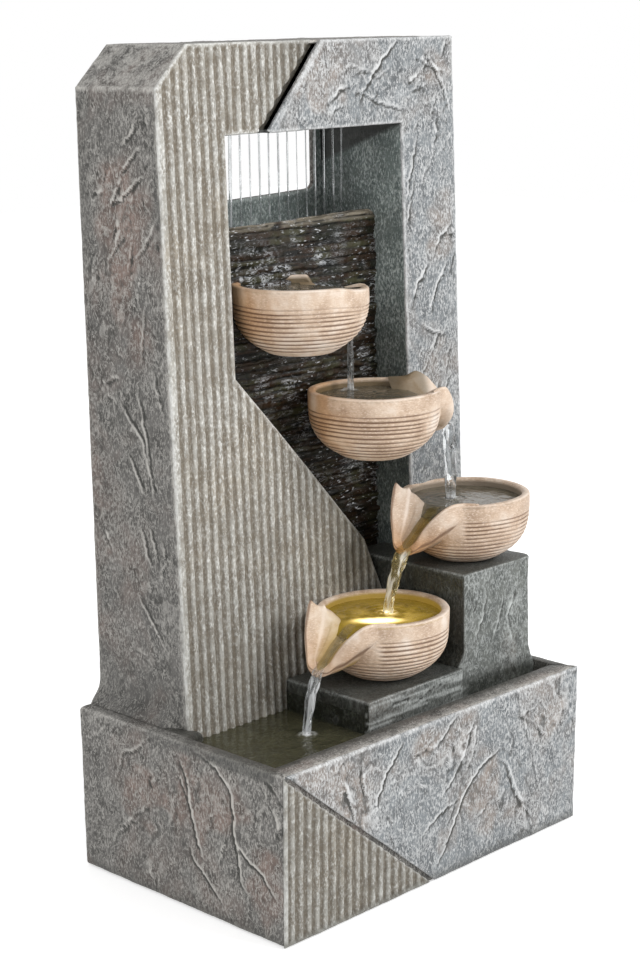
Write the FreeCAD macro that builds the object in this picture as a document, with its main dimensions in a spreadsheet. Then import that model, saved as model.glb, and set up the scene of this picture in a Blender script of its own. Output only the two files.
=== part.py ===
import FreeCAD, Part
import math
import os
import re
from FreeCAD import Rotation, Vector
import Sketcher

# A garden wall fountain: a cast tower on a basin, four grooved bowls with leaf spouts, and the
# pump, hose, rain bar, lights, service door and drain plug that make it work. Millimetres.
# Lengths are written in the corner frame: X from the left side, Y from the front, Z from the
# ground. Every placement then moves the origin to the middle of the footprint.

os.makedirs("parts", exist_ok=True)
doc = FreeCAD.newDocument("garden_wall_fountain")

SIZES = {
    # basin
    "basin_wide": 446,
    "basin_deep": 305,
    "basin_high": 175,
    "basin_skin": 8,
    "basin_floor": 9,
    "basin_undercut": 4,
    "rim_front": 40,
    "rim_left": 20,
    "rim_right": 14,
    "rim_back": 14,
    "shoulder_wide": 24,
    "seam_foot": 212,
    "seam_deep": 7,
    "seam_wide": 4,
    # ribs on the basin and on the tower
    "rib_pitch": 11.2,
    "rib_deep": 2.4,
    "rib_groove": 5.4,
    # tower
    "tower_top": 840,
    "tower_inset": 28,
    "tower_deep": 140,
    "tower_lean": 18,
    "shell_wall": 5,
    "back_thick": 8,
    "top_slant_wide": 41,
    "top_slant_high": 40,
    "pillar_left": 86,
    "pillar_right": 84,
    "window_top": 752,
    "back_lip": 10,
    "back_corner": 38,
    "facing_thick": 10,
    "facing_foot": 60,
    "slate_proud": 5,
    "seam_top_x": 247.5,
    "seam_low_x": 168.5,
    "seam_gap": 4,
    "slope_top": 515,
    "slope_low": 317,
    "slope_end": 235,
    "slope_low_in": 70,
    "slope_end_in": 36,
    # wet wall and the tray behind its crest
    "wall_back": 47,
    "wall_thick": 11,
    "wall_foot": 150,
    "crest_high": 653,
    "crest_round": 5,
    "course_high": 12.5,
    "course_relief": 4.5,
    "sill_up": 20,
    "tray_down": 17,
    "tray_thick": 6,
    # bowls and their leaf spouts
    "bowl_radius": 70,
    "bowl_high": 71,
    "bowl_foot": 30,
    "bowl_wall": 7,
    "bowl_bond": 3,
    "bowl_band": 17,
    "groove_pitch": 4.4,
    "groove_deep": 1.3,
    "spout_reach": 106,
    "spout_drop": 52,
    "spout_wall": 6,
    "bowl_1_in": 84,
    "bowl_1_out": 44,
    "bowl_1_down": 50,
    "bowl_1_turn": 13,
    "bowl_2_in": 81,
    "bowl_2_out": 67,
    "bowl_2_down": 167,
    "bowl_2_turn": -18,
    "bowl_3_in": 62,
    "bowl_3_out": 61,
    "bowl_3_turn": 180,
    "bowl_4_in": 81,
    "bowl_4_out": 63,
    "bowl_4_turn": 180,
    # steps under the lower bowls
    "step_gap": 6,
    "step_side": 25,
    "lower_wide": 151,
    "lower_up": 21,
    "upper_wide": 107,
    "upper_setback": 4,
    "upper_up": 120,
    # rain bar
    "bar_radius": 9,
    "bar_bore": 7,
    "bar_behind": 33,
    "bar_above": 21,
    "bar_margin": 4,
    "bar_slot": 14,
    "nozzle_start": 65,
    "nozzle_pitch": 13.5,
    "nozzle_count": 13,
    "nozzle_radius": 2.5,
    "nozzle_bore": 1,
    "nozzle_dip": 1.5,
    "clip_wide": 10,
    "clip_foot": 10,
    "clip_inset": 22,
    "screw_radius": 1.5,
    "screw_gap": 0.1,
    "screw_head": 3,
    # hose
    "hose_radius": 8,
    "hose_bore": 6.3,
    "hose_rise": 80,
    "hose_bend": 30,
    "barb_long": 18,
    "barb_bore": 4.5,
    "neck_long": 12,
    # pump
    "pump_in": 48,
    "pump_back": 50,
    "pump_up": 26,
    "pump_long": 48,
    "pump_wide": 44,
    "pump_high": 40,
    "volute_long": 16,
    "volute_wall": 4,
    "chamber_radius": 15,
    "eye_radius": 8,
    "eye_hub": 3.2,
    "eye_bar": 2,
    "grille_long": 14,
    "magnet_radius": 7.6,
    "magnet_long": 32,
    "impeller_radius": 13,
    "shaft_radius": 1.5,
    "running_gap": 0.05,
    "free_gap": 0.4,
    "cup_radius": 7,
    # lights
    "light_radius": 13,
    "light_high": 9,
    "lens_high": 4,
    # service door
    "door_in": 52,
    "door_wide": 148,
    "door_up": 15,
    "door_high": 230,
    "door_thick": 5,
    "door_lap": 6,
    "hinge_radius": 3.5,
    "pin_radius": 1.5,
    "pin_long": 16,
    "knob_in": 30,
    "knob_radius": 16,
    "knob_shaft": 4,
    "dish_radius": 20,
    "dish_deep": 9,
    "cam_long": 36,
    # openings in the back
    "grommet_beside": 24,
    "grommet_up": 40,
    "grommet_radius": 8,
    "cord_radius": 3.6,
    "drain_side": 50,
    "drain_up": 19,
    "drain_radius": 9,
}

# Places that follow from the sizes: what carries a piece also says where it is.
PLACES = {
    "tower_front": "basin_deep - tower_deep",
    "wall_front": "tower_front + wall_back",
    "window_left": "tower_inset + pillar_left",
    "window_right": "basin_wide - pillar_right",
    "slope_low_x": "window_right - slope_low_in",
    "slope_end_x": "window_right - slope_end_in",
    "back_sill": "crest_high + sill_up",
    "tray_floor": "crest_high - tray_down",
    "upper_left": "basin_wide - step_side - upper_wide",
    "lower_left": "upper_left - lower_wide",
    "lower_front": "rim_front + step_gap",
    "upper_front": "lower_front + upper_setback",
    "lower_top": "basin_high + lower_up",
    "upper_top": "basin_high + upper_up",
    "bowl_1_x": "window_left + bowl_1_in",
    "bowl_1_y": "wall_front - bowl_1_out",
    "bowl_1_rim": "crest_high - bowl_1_down",
    "bowl_2_x": "window_right - bowl_2_in",
    "bowl_2_y": "wall_front - bowl_2_out",
    "bowl_2_rim": "crest_high - bowl_2_down",
    "bowl_3_x": "upper_left + bowl_3_in",
    "bowl_3_y": "tower_front - bowl_3_out",
    "bowl_4_x": "lower_left + bowl_4_in",
    "bowl_4_y": "tower_front - bowl_4_out",
    "bar_y": "wall_front + bar_behind",
    "bar_z": "window_top + bar_above",
    "bar_left": "window_left + bar_margin",
    "bar_right": "window_right - bar_margin",
    "nozzle_first": "window_left + nozzle_start",
    "nozzle_tip": "window_top - nozzle_dip",
    "hose_x": "tower_inset + pillar_left / 2",
    "hose_low": "pump_z + hose_rise",
    "pump_x": "door_left + pump_in",
    "pump_y": "basin_deep - pump_back",
    "pump_z": "basin_floor + pump_up",
    "door_left": "window_left + door_in",
    "door_low": "basin_high + door_up",
    "knob_x": "door_left + door_wide - knob_in",
    "knob_z": "door_low + door_high / 2",
    "grommet_x": "door_left + door_wide + grommet_beside",
    "grommet_z": "basin_high + grommet_up",
    "drain_x": "basin_wide - drain_side",
    "drain_z": "basin_floor + drain_up",
}

sheet = doc.addObject("Spreadsheet::Sheet", "sizes")
for row, (alias, number) in enumerate(SIZES.items(), start=1):
    sheet.set(f"A{row}", alias)
    sheet.set(f"B{row}", str(number))
    sheet.setAlias(f"B{row}", alias)
doc.recompute()

WORD = re.compile(r"[A-Za-z_][A-Za-z_0-9]*")


def named(found):
    """What stands in a formula for one word: a cell of the sheet, a place's own formula, or the word."""
    word = found.group()
    if word in PLACES:
        return f"({formula(PLACES[word])})"
    return "sizes." + word if word in SIZES else word


def formula(text):
    """A formula of sizes and places, written with the sheet's cells."""
    return WORD.sub(named, text)


gauge = doc.addObject("Part::Vertex", "gauge")


def size(text):
    """The number that a size, a place or a formula of them comes to."""
    gauge.setExpression("X", formula(text))
    gauge.recompute()
    return float(gauge.X)


def place(solid, at):
    """Binds a place in the corner frame, moved to the middle of the footprint."""
    for letter, text, middle in zip("xyz", at, (" - basin_wide / 2", " - basin_deep / 2", "")):
        solid.setExpression("Placement.Base." + letter, formula(text + middle))
    return solid


def block(name, low, spans):
    """A box from its low corner and its three sizes."""
    solid = doc.addObject("Part::Box", name)
    for field, text in zip(("Length", "Width", "Height"), spans):
        solid.setExpression(field, formula(text))
    return place(solid, low)


TURNS = {
    "X": Rotation(Vector(0, 1, 0), 90),
    "Y": Rotation(Vector(1, 0, 0), -90),
    "Z": Rotation(),
}


def rod(name, along, start, radius, length):
    """A cylinder that starts at a point and runs along X, Y or Z."""
    solid = doc.addObject("Part::Cylinder", name)
    solid.Placement = FreeCAD.Placement(Vector(0, 0, 0), TURNS[along])
    solid.setExpression("Radius", formula(radius))
    solid.setExpression("Height", formula(length))
    return place(solid, start)


def cone(name, along, start, first, last, length):
    """A cone frustum that starts at a point and runs along X, Y or Z."""
    solid = doc.addObject("Part::Cone", name)
    solid.Placement = FreeCAD.Placement(Vector(0, 0, 0), TURNS[along])
    solid.setExpression("Radius1", formula(first))
    solid.setExpression("Radius2", formula(last))
    solid.setExpression("Height", formula(length))
    return place(solid, start)


def outline(body, plane, corners, start, name):
    """A closed outline of straight edges on one of the body's own planes."""
    sketch = body.newObject("Sketcher::SketchObject", name)
    feature = next(item for item in body.Origin.OriginFeatures if item.Role == plane)
    sketch.AttachmentSupport = [(feature, "")]
    sketch.MapMode = "FlatFace"
    sign = "-1 * " if plane == "XZ_Plane" else ""
    sketch.setExpression("AttachmentOffset.Base.z", formula(f"{sign}({start})"))
    count = len(corners)
    wide = size("basin_wide")
    ring = [Rotation(Vector(0, 0, 1),
                     360 * turn / count).multVec(Vector(wide, 0, 0)) for turn in range(count)]
    for index in range(count):
        sketch.addGeometry(Part.LineSegment(ring[index], ring[(index + 1) % count]), False)
    for index in range(count):
        sketch.addConstraint(Sketcher.Constraint("Coincident", index, 2, (index + 1) % count, 1))
    for index, corner in enumerate(corners):
        for kind, text in zip(("DistanceX", "DistanceY"), corner):
            number = sketch.addConstraint(Sketcher.Constraint(kind, -1, 1, index, 1, 10.0))
            sketch.setExpression(f"Constraints[{number}]", formula(text))
    return sketch


def prism(name, plane, corners, start, length, at=("0", "0", "0")):
    """A straight-sided solid: an outline padded towards +X, +Y or +Z."""
    body = doc.addObject("PartDesign::Body", name)
    sketch = outline(body, plane, corners, start, name + "_outline")
    pad = body.newObject("PartDesign::Pad", name + "_pad")
    pad.Profile = sketch
    pad.Reversed = plane == "XZ_Plane"
    pad.setExpression("Length", formula(length))
    sketch.Visibility = False
    return place(body, at)


def fuse(name, pieces):
    """One solid from several that touch or overlap."""
    joined = doc.addObject("Part::MultiFuse", name)
    joined.Shapes = pieces
    joined.Refine = True
    return joined


def common(name, pieces):
    """What two solids share."""
    shared = doc.addObject("Part::MultiCommon", name)
    shared.Shapes = pieces
    return shared


def cut(name, base, tools):
    """A solid with others taken away from it."""
    rest = doc.addObject("Part::Cut", name)
    rest.Base = base
    rest.Tool = tools[0] if len(tools) == 1 else fuse(name + "_tools", tools)
    rest.Refine = True
    return rest


def feature(name, shape):
    """A free shape, worked out in the corner frame from sheet values."""
    solid = doc.addObject("Part::Feature", name)
    own_place = shape.Placement
    solid.Shape = shape
    to_middle = FreeCAD.Placement(Vector(-size("basin_wide") / 2, -size("basin_deep") / 2, 0), Rotation())
    solid.Placement = to_middle * own_place
    return solid


NODES = {}


def node(name, solid):
    """Names a finished sub-part; the name is also its file's name."""
    solid.Label = name
    NODES[name] = solid
    return solid


LEAN = "tower_lean / (tower_top - basin_high)"


def front_at(height):
    """The depth of the tower's leaning front plane at a height."""
    return f"(tower_front + {LEAN} * ({height} - basin_high))"


def leaning_slab(name, proud, thick, low, high, left, right):
    """The space between the tower's leaning front plane and one parallel to it."""
    corners = [
        (f"{front_at(low)} - {proud}", low),
        (f"{front_at(low)} + {thick}", low),
        (f"{front_at(high)} + {thick}", high),
        (f"{front_at(high)} - {proud}", high),
    ]
    return prism(name, "YZ_Plane", corners, left, f"{right} - {left}")


def rib_comb(name, count, at, length, lean):
    """Upright V grooves side by side, leaning with the face that they are cut into."""
    body = doc.addObject("PartDesign::Body", name)
    reach = "(rib_deep + 1)"
    corners = [("0", "0"), ("rib_groove", "0"), ("rib_groove / 2", reach)]
    sketch = outline(body, "XY_Plane", corners, "0", name + "_groove")
    pad = body.newObject("PartDesign::Pad", name + "_pad")
    pad.Profile = sketch
    pad.setExpression("Length", formula(length))
    pattern = body.newObject("PartDesign::LinearPattern", name + "_pattern")
    pattern.Originals = [pad]
    pattern.Direction = (sketch, ["H_Axis"])
    pattern.setExpression("Length", formula(f"rib_pitch * ({count} - 1)"))
    pattern.setExpression("Occurrences", formula(count))
    body.Tip = pattern
    body.Placement = FreeCAD.Placement(Vector(0, 0, 0), Rotation(Vector(1, 0, 0), 1))
    body.setExpression("Placement.Rotation.Angle", formula(lean))
    return place(body, (at[0], at[1] + " - 1", at[2]))


def make_basin():
    """The tub: thick front rim, hollow from below, with the ribbed triangle and its seam in front."""
    corners = [("0", "basin_high"), ("basin_undercut", "0"), ("basin_deep", "0"),
               ("basin_deep", "basin_high")]
    blank = prism("basin_blank", "YZ_Plane", corners, "0", "basin_wide")
    back = "basin_deep - rim_back"
    shoulder = "rim_left + shoulder_wide"
    shoulder_front = "tower_front - 8"
    corners = [
        ("rim_left", "rim_front"),
        ("basin_wide - rim_right", "rim_front"),
        ("basin_wide - rim_right", back),
        (shoulder, back),
        (shoulder, shoulder_front),
        ("rim_left", shoulder_front),
    ]
    water = prism("basin_water", "XY_Plane", corners, "basin_floor", "basin_high - basin_floor")
    hollow = block(
        "rim_hollow",
        ("basin_skin", "basin_skin + basin_undercut", "-1"),
        ("basin_wide - 2 * basin_skin", "rim_front - 2 * basin_skin - basin_undercut",
         "basin_high - basin_skin + 1"),
    )
    side_hollow = block(
        "shoulder_hollow",
        ("basin_skin", f"{shoulder_front} + basin_skin", "-1"),
        ("rim_left + shoulder_wide - 2 * basin_skin", f"{back} - ({shoulder_front}) - basin_skin",
         "basin_high - basin_skin + 1"),
    )
    drain = rod("drain_bore", "Y", ("drain_x", f"{back} - 1", "drain_z"), "drain_radius", "rim_back + 2")
    seat = rod("drain_seat", "Y", ("drain_x", "basin_deep - 6", "drain_z"), "drain_radius + 5", "7")
    margin = "rib_pitch / 2"
    corners = [(margin, "0"), (f"seam_foot - seam_wide - {margin}", "0"), (margin, "basin_high * 0.94")]
    mask = prism("basin_rib_mask", "XZ_Plane", corners, "0", "rim_front")
    comb = rib_comb(
        "basin_rib_comb",
        "floor(seam_foot / rib_pitch)",
        (margin, "basin_undercut", "-1"),
        "basin_high",
        "atan(basin_undercut / basin_high)",
    )
    grooves = common("basin_ribs", [comb, mask])
    corners = [
        ("0", "basin_high"),
        ("0", "basin_high - seam_wide"),
        ("seam_foot - seam_wide", "0"),
        ("seam_foot", "0"),
    ]
    seam = prism("basin_seam", "XZ_Plane", corners, "0", "seam_deep")
    node("basin", cut("basin_tub", blank, [water, hollow, side_hollow, drain, seat, grooves, seam]))


def window_outline(inset):
    """The tower seen from the front, with the window as a notch, drawn in by an inset."""
    return [
        (f"tower_inset + {inset}", "basin_high"),
        (f"tower_inset + {inset}", f"tower_top - top_slant_high - {inset} * 0.4"),
        (f"tower_inset + top_slant_wide + {inset} * 0.4", f"tower_top - {inset}"),
        (f"basin_wide - {inset}", f"tower_top - {inset}"),
        (f"basin_wide - {inset}", "basin_high"),
        (f"window_right + {inset}", "basin_high"),
        (f"window_right + {inset}", f"window_top + {inset}"),
        (f"window_left - {inset}", f"window_top + {inset}"),
        (f"window_left - {inset}", "basin_high"),
    ]


def make_tower_shell():
    """The hollow casting: sides, top, window reveals and the back with its door opening."""
    outer = prism("shell_outer", "XZ_Plane", window_outline("0"), "0", "basin_deep")
    corners = [
        ("tower_front + facing_thick", "basin_high"),
        ("basin_deep", "basin_high"),
        ("basin_deep", "tower_top"),
        ("tower_front + facing_thick + tower_lean", "tower_top"),
    ]
    depth = prism("shell_depth", "YZ_Plane", corners, "0", "basin_wide")
    inner = prism("shell_inner", "XZ_Plane", window_outline("shell_wall"), "0", "basin_deep - back_thick")
    frame = cut("shell_frame", common("shell_block", [outer, depth]), [inner])
    back_face = "basin_deep - back_thick"
    panel = block(
        "back_panel",
        ("window_left - shell_wall", back_face, "basin_high"),
        ("window_right - window_left + 2 * shell_wall", "back_thick", "back_sill - basin_high"),
    )
    lip_left = "window_right - back_lip"
    lip = block(
        "back_edge",
        (f"{lip_left} - back_corner", back_face, "back_sill"),
        ("back_corner + back_lip", "back_thick", "window_top - back_sill"),
    )
    lip_arc = rod("back_arc", "Y",
                  (f"{lip_left} - back_corner", f"{back_face} - 1", "back_sill + back_corner"),
                  "back_corner", "back_thick + 2")
    lip_rest = block(
        "back_rest",
        (f"{lip_left} - back_corner - 1", f"{back_face} - 1", "back_sill + back_corner"),
        ("back_corner + 1", "back_thick + 2", "window_top - back_sill - back_corner"),
    )
    edge = cut("back_edge_round", lip, [lip_arc, lip_rest])
    solid = fuse("shell_solid", [frame, panel, edge])
    way = block(
        "door_way",
        ("door_left - hinge_radius - free_gap", f"{back_face} - 1", "door_low + door_lap"),
        ("door_wide - door_lap + hinge_radius", "back_thick + 2", "door_high - 2 * door_lap"),
    )
    rebate = block(
        "door_rebate",
        ("door_left - hinge_radius - free_gap", "basin_deep - door_thick - free_gap", "door_low"),
        ("door_wide + hinge_radius + 2 * free_gap", "door_thick + 1", "door_high"),
    )
    hinge_way = block(
        "hinge_way",
        ("door_left - hinge_radius - free_gap", f"{back_face} - 1", "door_low"),
        ("2 * hinge_radius + 2 * free_gap", "back_thick + 2", "door_high"),
    )
    pins = rod("pin_holes", "Z", ("door_left", "basin_deep - hinge_radius", "door_low - pin_long / 2"),
               "pin_radius", "door_high + pin_long")
    cable = rod("grommet_hole", "Y", ("grommet_x", f"{back_face} - 1", "grommet_z"), "grommet_radius",
                "back_thick + 2")
    flange = rod("grommet_seat", "Y", ("grommet_x", "basin_deep - 2", "grommet_z"), "grommet_radius + 4", "3")
    slot = block(
        "nozzle_slot",
        ("nozzle_first - 8", "bar_y - bar_slot / 2", "window_top - 1"),
        ("nozzle_pitch * (nozzle_count - 1) + 16", "bar_slot", "shell_wall + 2"),
    )
    node("tower_shell", cut("shell_cut", solid, [way, rebate, hinge_way, pins, cable, flange, slot]))


def make_ribbed_facing():
    """The left front: upright ribs, cut off by the slope, with a flange back to the wet wall."""
    low_left = "rim_left + shoulder_wide + free_gap"
    corners = [
        (low_left, "facing_foot"),
        (low_left, "basin_high"),
        ("tower_inset", "basin_high"),
        ("tower_inset", "tower_top - top_slant_high"),
        ("tower_inset + top_slant_wide", "tower_top"),
        ("seam_top_x", "tower_top"),
        ("seam_low_x", "window_top"),
        ("window_left", "window_top"),
        ("window_left", "slope_top"),
        ("slope_low_x", "slope_low"),
        ("slope_end_x", "slope_end"),
        ("slope_end_x", "facing_foot"),
    ]
    face = prism("ribbed_outline", "XZ_Plane", corners, "0", "basin_deep")
    slab = leaning_slab("ribbed_slab", "0", "facing_thick", "facing_foot", "tower_top", "0", "basin_wide")
    plate = common("ribbed_plate", [face, slab])
    corners = [
        ("window_left", "slope_top"),
        ("slope_low_x", "slope_low"),
        ("slope_end_x", "slope_end"),
        ("slope_end_x", "slope_end - 40"),
        ("slope_end_x - shell_wall", "slope_end - 40"),
        ("slope_end_x - shell_wall", "slope_end - 4"),
        ("slope_low_x - shell_wall", "slope_low - 4"),
        ("window_left", "slope_top - 12"),
    ]
    ledge = prism("slope_ledge", "XZ_Plane", corners, "tower_front + 10", "wall_front - tower_front - 10")
    comb = rib_comb(
        "tower_rib_comb",
        "floor((slope_end_x - tower_inset) / rib_pitch)",
        ("tower_inset + rib_pitch / 2", front_at("facing_foot"), "facing_foot"),
        "tower_top - facing_foot + 5",
        f"-1 * atan({LEAN})",
    )
    node("ribbed_facing", cut("ribbed_cut", fuse("ribbed_solid", [plate, ledge]), [comb]))


def make_slate_facing():
    """The right pillar's face and the right part of the lintel, proud of the ribs at the seam."""
    corners = [
        ("seam_top_x + seam_gap", "tower_top"),
        ("basin_wide", "tower_top"),
        ("basin_wide", "basin_high"),
        ("window_right", "basin_high"),
        ("window_right", "window_top"),
        ("seam_low_x + 0.5", "window_top"),
    ]
    face = prism("slate_outline", "XZ_Plane", corners, "0", "basin_deep")
    slab = leaning_slab("slate_slab", "slate_proud", "facing_thick", "basin_high", "tower_top", "0",
                        "basin_wide")
    node("slate_facing", common("slate_plate", [face, slab]))


def make_wet_wall():
    """Thin stacked courses of slate, each set back a little differently, under a rounded crest."""
    front = size("wall_front")
    back = front + size("wall_thick")
    crest = size("crest_high")
    foot = size("wall_foot")
    relief = size("course_relief")
    setbacks = (0, 0.9, 0.45, 0, 0.6, 1.0)
    count = int((crest - size("crest_round") - foot) / size("course_high"))
    step = (crest - size("crest_round") - foot) / count
    points = [Vector(0, back, foot)]
    for course in range(count):
        setback = relief * setbacks[course % len(setbacks)]
        points.append(Vector(0, front + setback, foot + step * course))
        points.append(Vector(0, front + setback, foot + step * (course + 1)))
    round_start = points[-1]
    bend = size("crest_round")
    wire = [Part.LineSegment(one, two) for one, two in zip(points[:-1], points[1:]) if one != two]
    round_end = Vector(0, round_start.y + bend, crest)
    round_mid = Vector(0, round_start.y + bend * (1 - math.sqrt(0.5)), crest - bend * (1 - math.sqrt(0.5)))
    wire.append(Part.Arc(round_start, round_mid, round_end))
    wire.append(Part.LineSegment(round_end, Vector(0, back, crest)))
    wire.append(Part.LineSegment(Vector(0, back, crest), points[0]))
    profile = Part.Face(Part.Wire([edge.toShape() for edge in wire]))
    solid = profile.extrude(Vector(size("window_right") - size("window_left"), 0, 0))
    solid.translate(Vector(size("window_left"), 0, 0))
    node("wet_wall", feature("wet_wall", solid))


def make_upper_tray():
    """The tray behind the crest: it catches the rain and lets it run over the wall."""
    node("upper_tray", block(
        "tray_plate",
        ("window_left", "wall_front + wall_thick", "tray_floor"),
        ("window_right - window_left", "basin_deep - back_thick - wall_front - wall_thick", "tray_thick"),
    ))


def bowl_radius_at(share):
    """The bowl's outer radius at a share of its height: steep near the rim, flat near the foot."""
    foot = size("bowl_foot")
    return foot + (size("bowl_radius") - foot) * (1 - (1 - share) ** 3)


def grooved_side():
    """Points up the bowl's side: crest lines on the curve, groove lines sunk into it."""
    high = size("bowl_high")
    band = size("bowl_band")
    pitch = size("groove_pitch")
    count = int((high - band) / pitch)
    pitch = (high - band) / count
    points = [Vector(size("bowl_foot"), 0, 0)]
    for turn in range(count):
        crest = pitch * (turn + 0.55)
        groove = pitch * (turn + 1)
        points.append(Vector(bowl_radius_at(crest / high), 0, crest))
        points.append(Vector(bowl_radius_at(groove / high) - size("groove_deep"), 0, groove))
    points.append(Vector(bowl_radius_at((high - band + 2) / high), 0, high - band + 2))
    return points


def revolved(points):
    """A solid of revolution about Z from a closed outline of points."""
    face = Part.Face(Part.makePolygon(points + [points[0]]))
    return face.revolve(Vector(0, 0, 0), Vector(0, 0, 1), 360)


def bowl_solids():
    """The bowl's outer solid with grooves and a rolled lip, and its hollow, foot at Z = 0."""
    high = size("bowl_high")
    radius = size("bowl_radius")
    wall = size("bowl_wall")
    lip = wall * 0.45
    side = grooved_side()
    side += [
        Vector(radius, 0, high - 2 * lip),
        Vector(radius - 0.3 * lip, 0, high - 0.7 * lip),
        Vector(radius - lip, 0, high),
        Vector(0, 0, high),
        Vector(0, 0, 0),
    ]
    outer = revolved(side)
    inside = [Vector(0, 0, wall)]
    rings = 6
    for turn in range(rings):
        share = turn / rings
        height = wall + (high - wall) * share ** 1.6
        inside.append(Vector(bowl_radius_at(height / high) - wall, 0, height))
    inside[1] = Vector(size("bowl_foot") - wall * 0.3, 0, wall)
    inside += [Vector(radius - wall, 0, high), Vector(radius - wall, 0, 2 * high), Vector(0, 0, 2 * high)]
    return outer, revolved(inside)


def leaf_section(reach, half, tip, keel, closed_above):
    """One upright cross-section of the spout: a deep arc between two leaf tips."""
    left = Vector(reach, -half, tip)
    right = Vector(reach, half, tip)
    low = Vector(reach, 0, keel)
    arc = Part.Arc(left, low, right).toShape()
    if closed_above:
        top_right = Vector(reach, half, tip + closed_above)
        top_left = Vector(reach, -half, tip + closed_above)
        edges = [
            arc,
            Part.makeLine(right, top_right),
            Part.makeLine(top_right, top_left),
            Part.makeLine(top_left, left),
        ]
        return Part.Wire(edges)
    return Part.Wire([arc, Part.makeLine(right, left)])


def spout_solids():
    """The folded leaf: a tapering channel that falls from the rim to its mouth, and its inside."""
    high = size("bowl_high")
    radius = size("bowl_radius")
    reach = size("spout_reach")
    drop = size("spout_drop")
    wall = size("spout_wall")
    stations = [
        # outward reach, half width, leaf tips above the rim, keel below the rim
        (radius - 16, 0.50 * radius, 2.0, -0.40 * drop),
        (radius + 4, 0.46 * radius, 4.0, -0.62 * drop),
        (radius + 0.55 * (reach - radius), 0.31 * radius, -0.42 * drop, -1.02 * drop),
        (reach, 0.14 * radius, -0.95 * drop, -1.2 * drop),
    ]
    outer = [leaf_section(x, half, high + tip, high + keel, 0) for x, half, tip, keel in stations]
    inner = []
    for x, half, tip, keel in stations:
        narrow = half - wall * (0.9 if half > 15 else 0.45)
        rise = wall * (1.0 if half > 15 else 0.55)
        inner.append(leaf_section(x, narrow, high + tip, high + keel + rise, high / 2))
    solid = Part.makeLoft(outer, True, False)
    hollow = Part.makeLoft(inner, True, True)
    mouth = inner[-1].copy()
    mouth.translate(Vector(10, 0, -6))
    throat = inner[0].copy()
    throat.translate(Vector(-20, 0, 4))
    way_in = Part.makeLoft([throat, inner[0]], True, True)
    way_out = Part.makeLoft([inner[-1], mouth], True, True)
    return solid, [way_in, hollow, way_out]


def room_in_front(depth, lean):
    """The space in front of an upright face that leans back, its foot at a depth behind the bowl."""
    reach = 3 * size("bowl_radius")
    room = Part.makeBox(reach, reach, reach, Vector(-reach / 2, depth - reach, -reach / 10))
    room.rotate(Vector(0, depth, 0), Vector(1, 0, 0), -lean)
    return room


def make_bowl(number, at, turn, depth, lean):
    """A bowl in its place, cut flat at the back where it is bonded to the face behind it."""
    outer, inside = bowl_solids()
    spout, channel = spout_solids()
    for piece in [spout] + channel:
        piece.rotate(Vector(0, 0, 0), Vector(0, 0, 1), turn)
    keep = room_in_front(depth, lean)
    keep_inside = room_in_front(depth - size("bowl_bond"), lean)
    solid = outer.fuse(spout).common(keep)
    inside = inside.common(keep_inside)
    channel = [piece.common(keep_inside) for piece in channel]
    solid = solid.cut(inside)
    for piece in channel:
        solid = solid.cut(piece)
    solid = solid.removeSplitter()
    biggest = max(solid.Solids, key=lambda part: part.Volume)
    print(f"bowl_{number}: {len(solid.Solids)} solid(s), {biggest.Volume / 1000:.1f} cm3")
    biggest.translate(at)
    node(f"bowl_{number}", feature(f"bowl_{number}", biggest))


def make_bowls():
    """Two bowls on the wet wall and two on the steps, against the tower's leaning front."""
    high = size("bowl_high")
    wall = size("wall_front")
    lean = math.degrees(math.atan(size(LEAN)))
    seats = {
        # foot height, depth of the face behind, its lean
        1: (size("bowl_1_rim") - high, wall, 0),
        2: (size("bowl_2_rim") - high, wall, 0),
        3: (size("upper_top"), size(front_at("upper_top") + " - slate_proud"), lean),
        4: (size("lower_top"), size(front_at("lower_top")), lean),
    }
    for number, (foot, face, face_lean) in seats.items():
        at = Vector(size(f"bowl_{number}_x"), size(f"bowl_{number}_y"), foot)
        make_bowl(number, at, size(f"bowl_{number}_turn"), face - at.y, face_lean)


def make_steps():
    """The two blocks: open below, standing on the basin's floor, their backs against the tower."""
    for name, left, right, front, top, proud in (
        ("lower_step", "lower_left", "upper_left", "lower_front", "lower_top", "0"),
        ("upper_step", "upper_left", "upper_left + upper_wide", "upper_front", "upper_top", "slate_proud"),
    ):
        corners = [
            (front, "basin_floor"),
            (front, top),
            (f"{front_at(top)} - {proud}", top),
            (f"{front_at('basin_floor')} - {proud}", "basin_floor"),
        ]
        solid = prism(name + "_block", "YZ_Plane", corners, left, f"{right} - ({left})")
        if name == "upper_step":
            tongue = block(
                "upper_step_tongue",
                ("slope_end_x + free_gap", f"{front_at('basin_high')} - slate_proud - 2", f"{top} - 60"),
                (
                    "window_right - slope_end_x - 2 * free_gap",
                    f"wall_front - {front_at('basin_high')} + slate_proud + 2",
                    "60",
                ),
            )
            solid = fuse("upper_step_solid", [solid, tongue])
        hollow = block(
            name + "_hollow",
            (f"{left} + shell_wall", f"{front} + shell_wall", "basin_floor"),
            (f"{right} - ({left}) - 2 * shell_wall", f"tower_front - {front} - 3 * shell_wall",
             f"{top} - basin_floor - shell_wall"),
        )
        node(name, cut(name + "_shell", solid, [hollow]))


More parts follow.
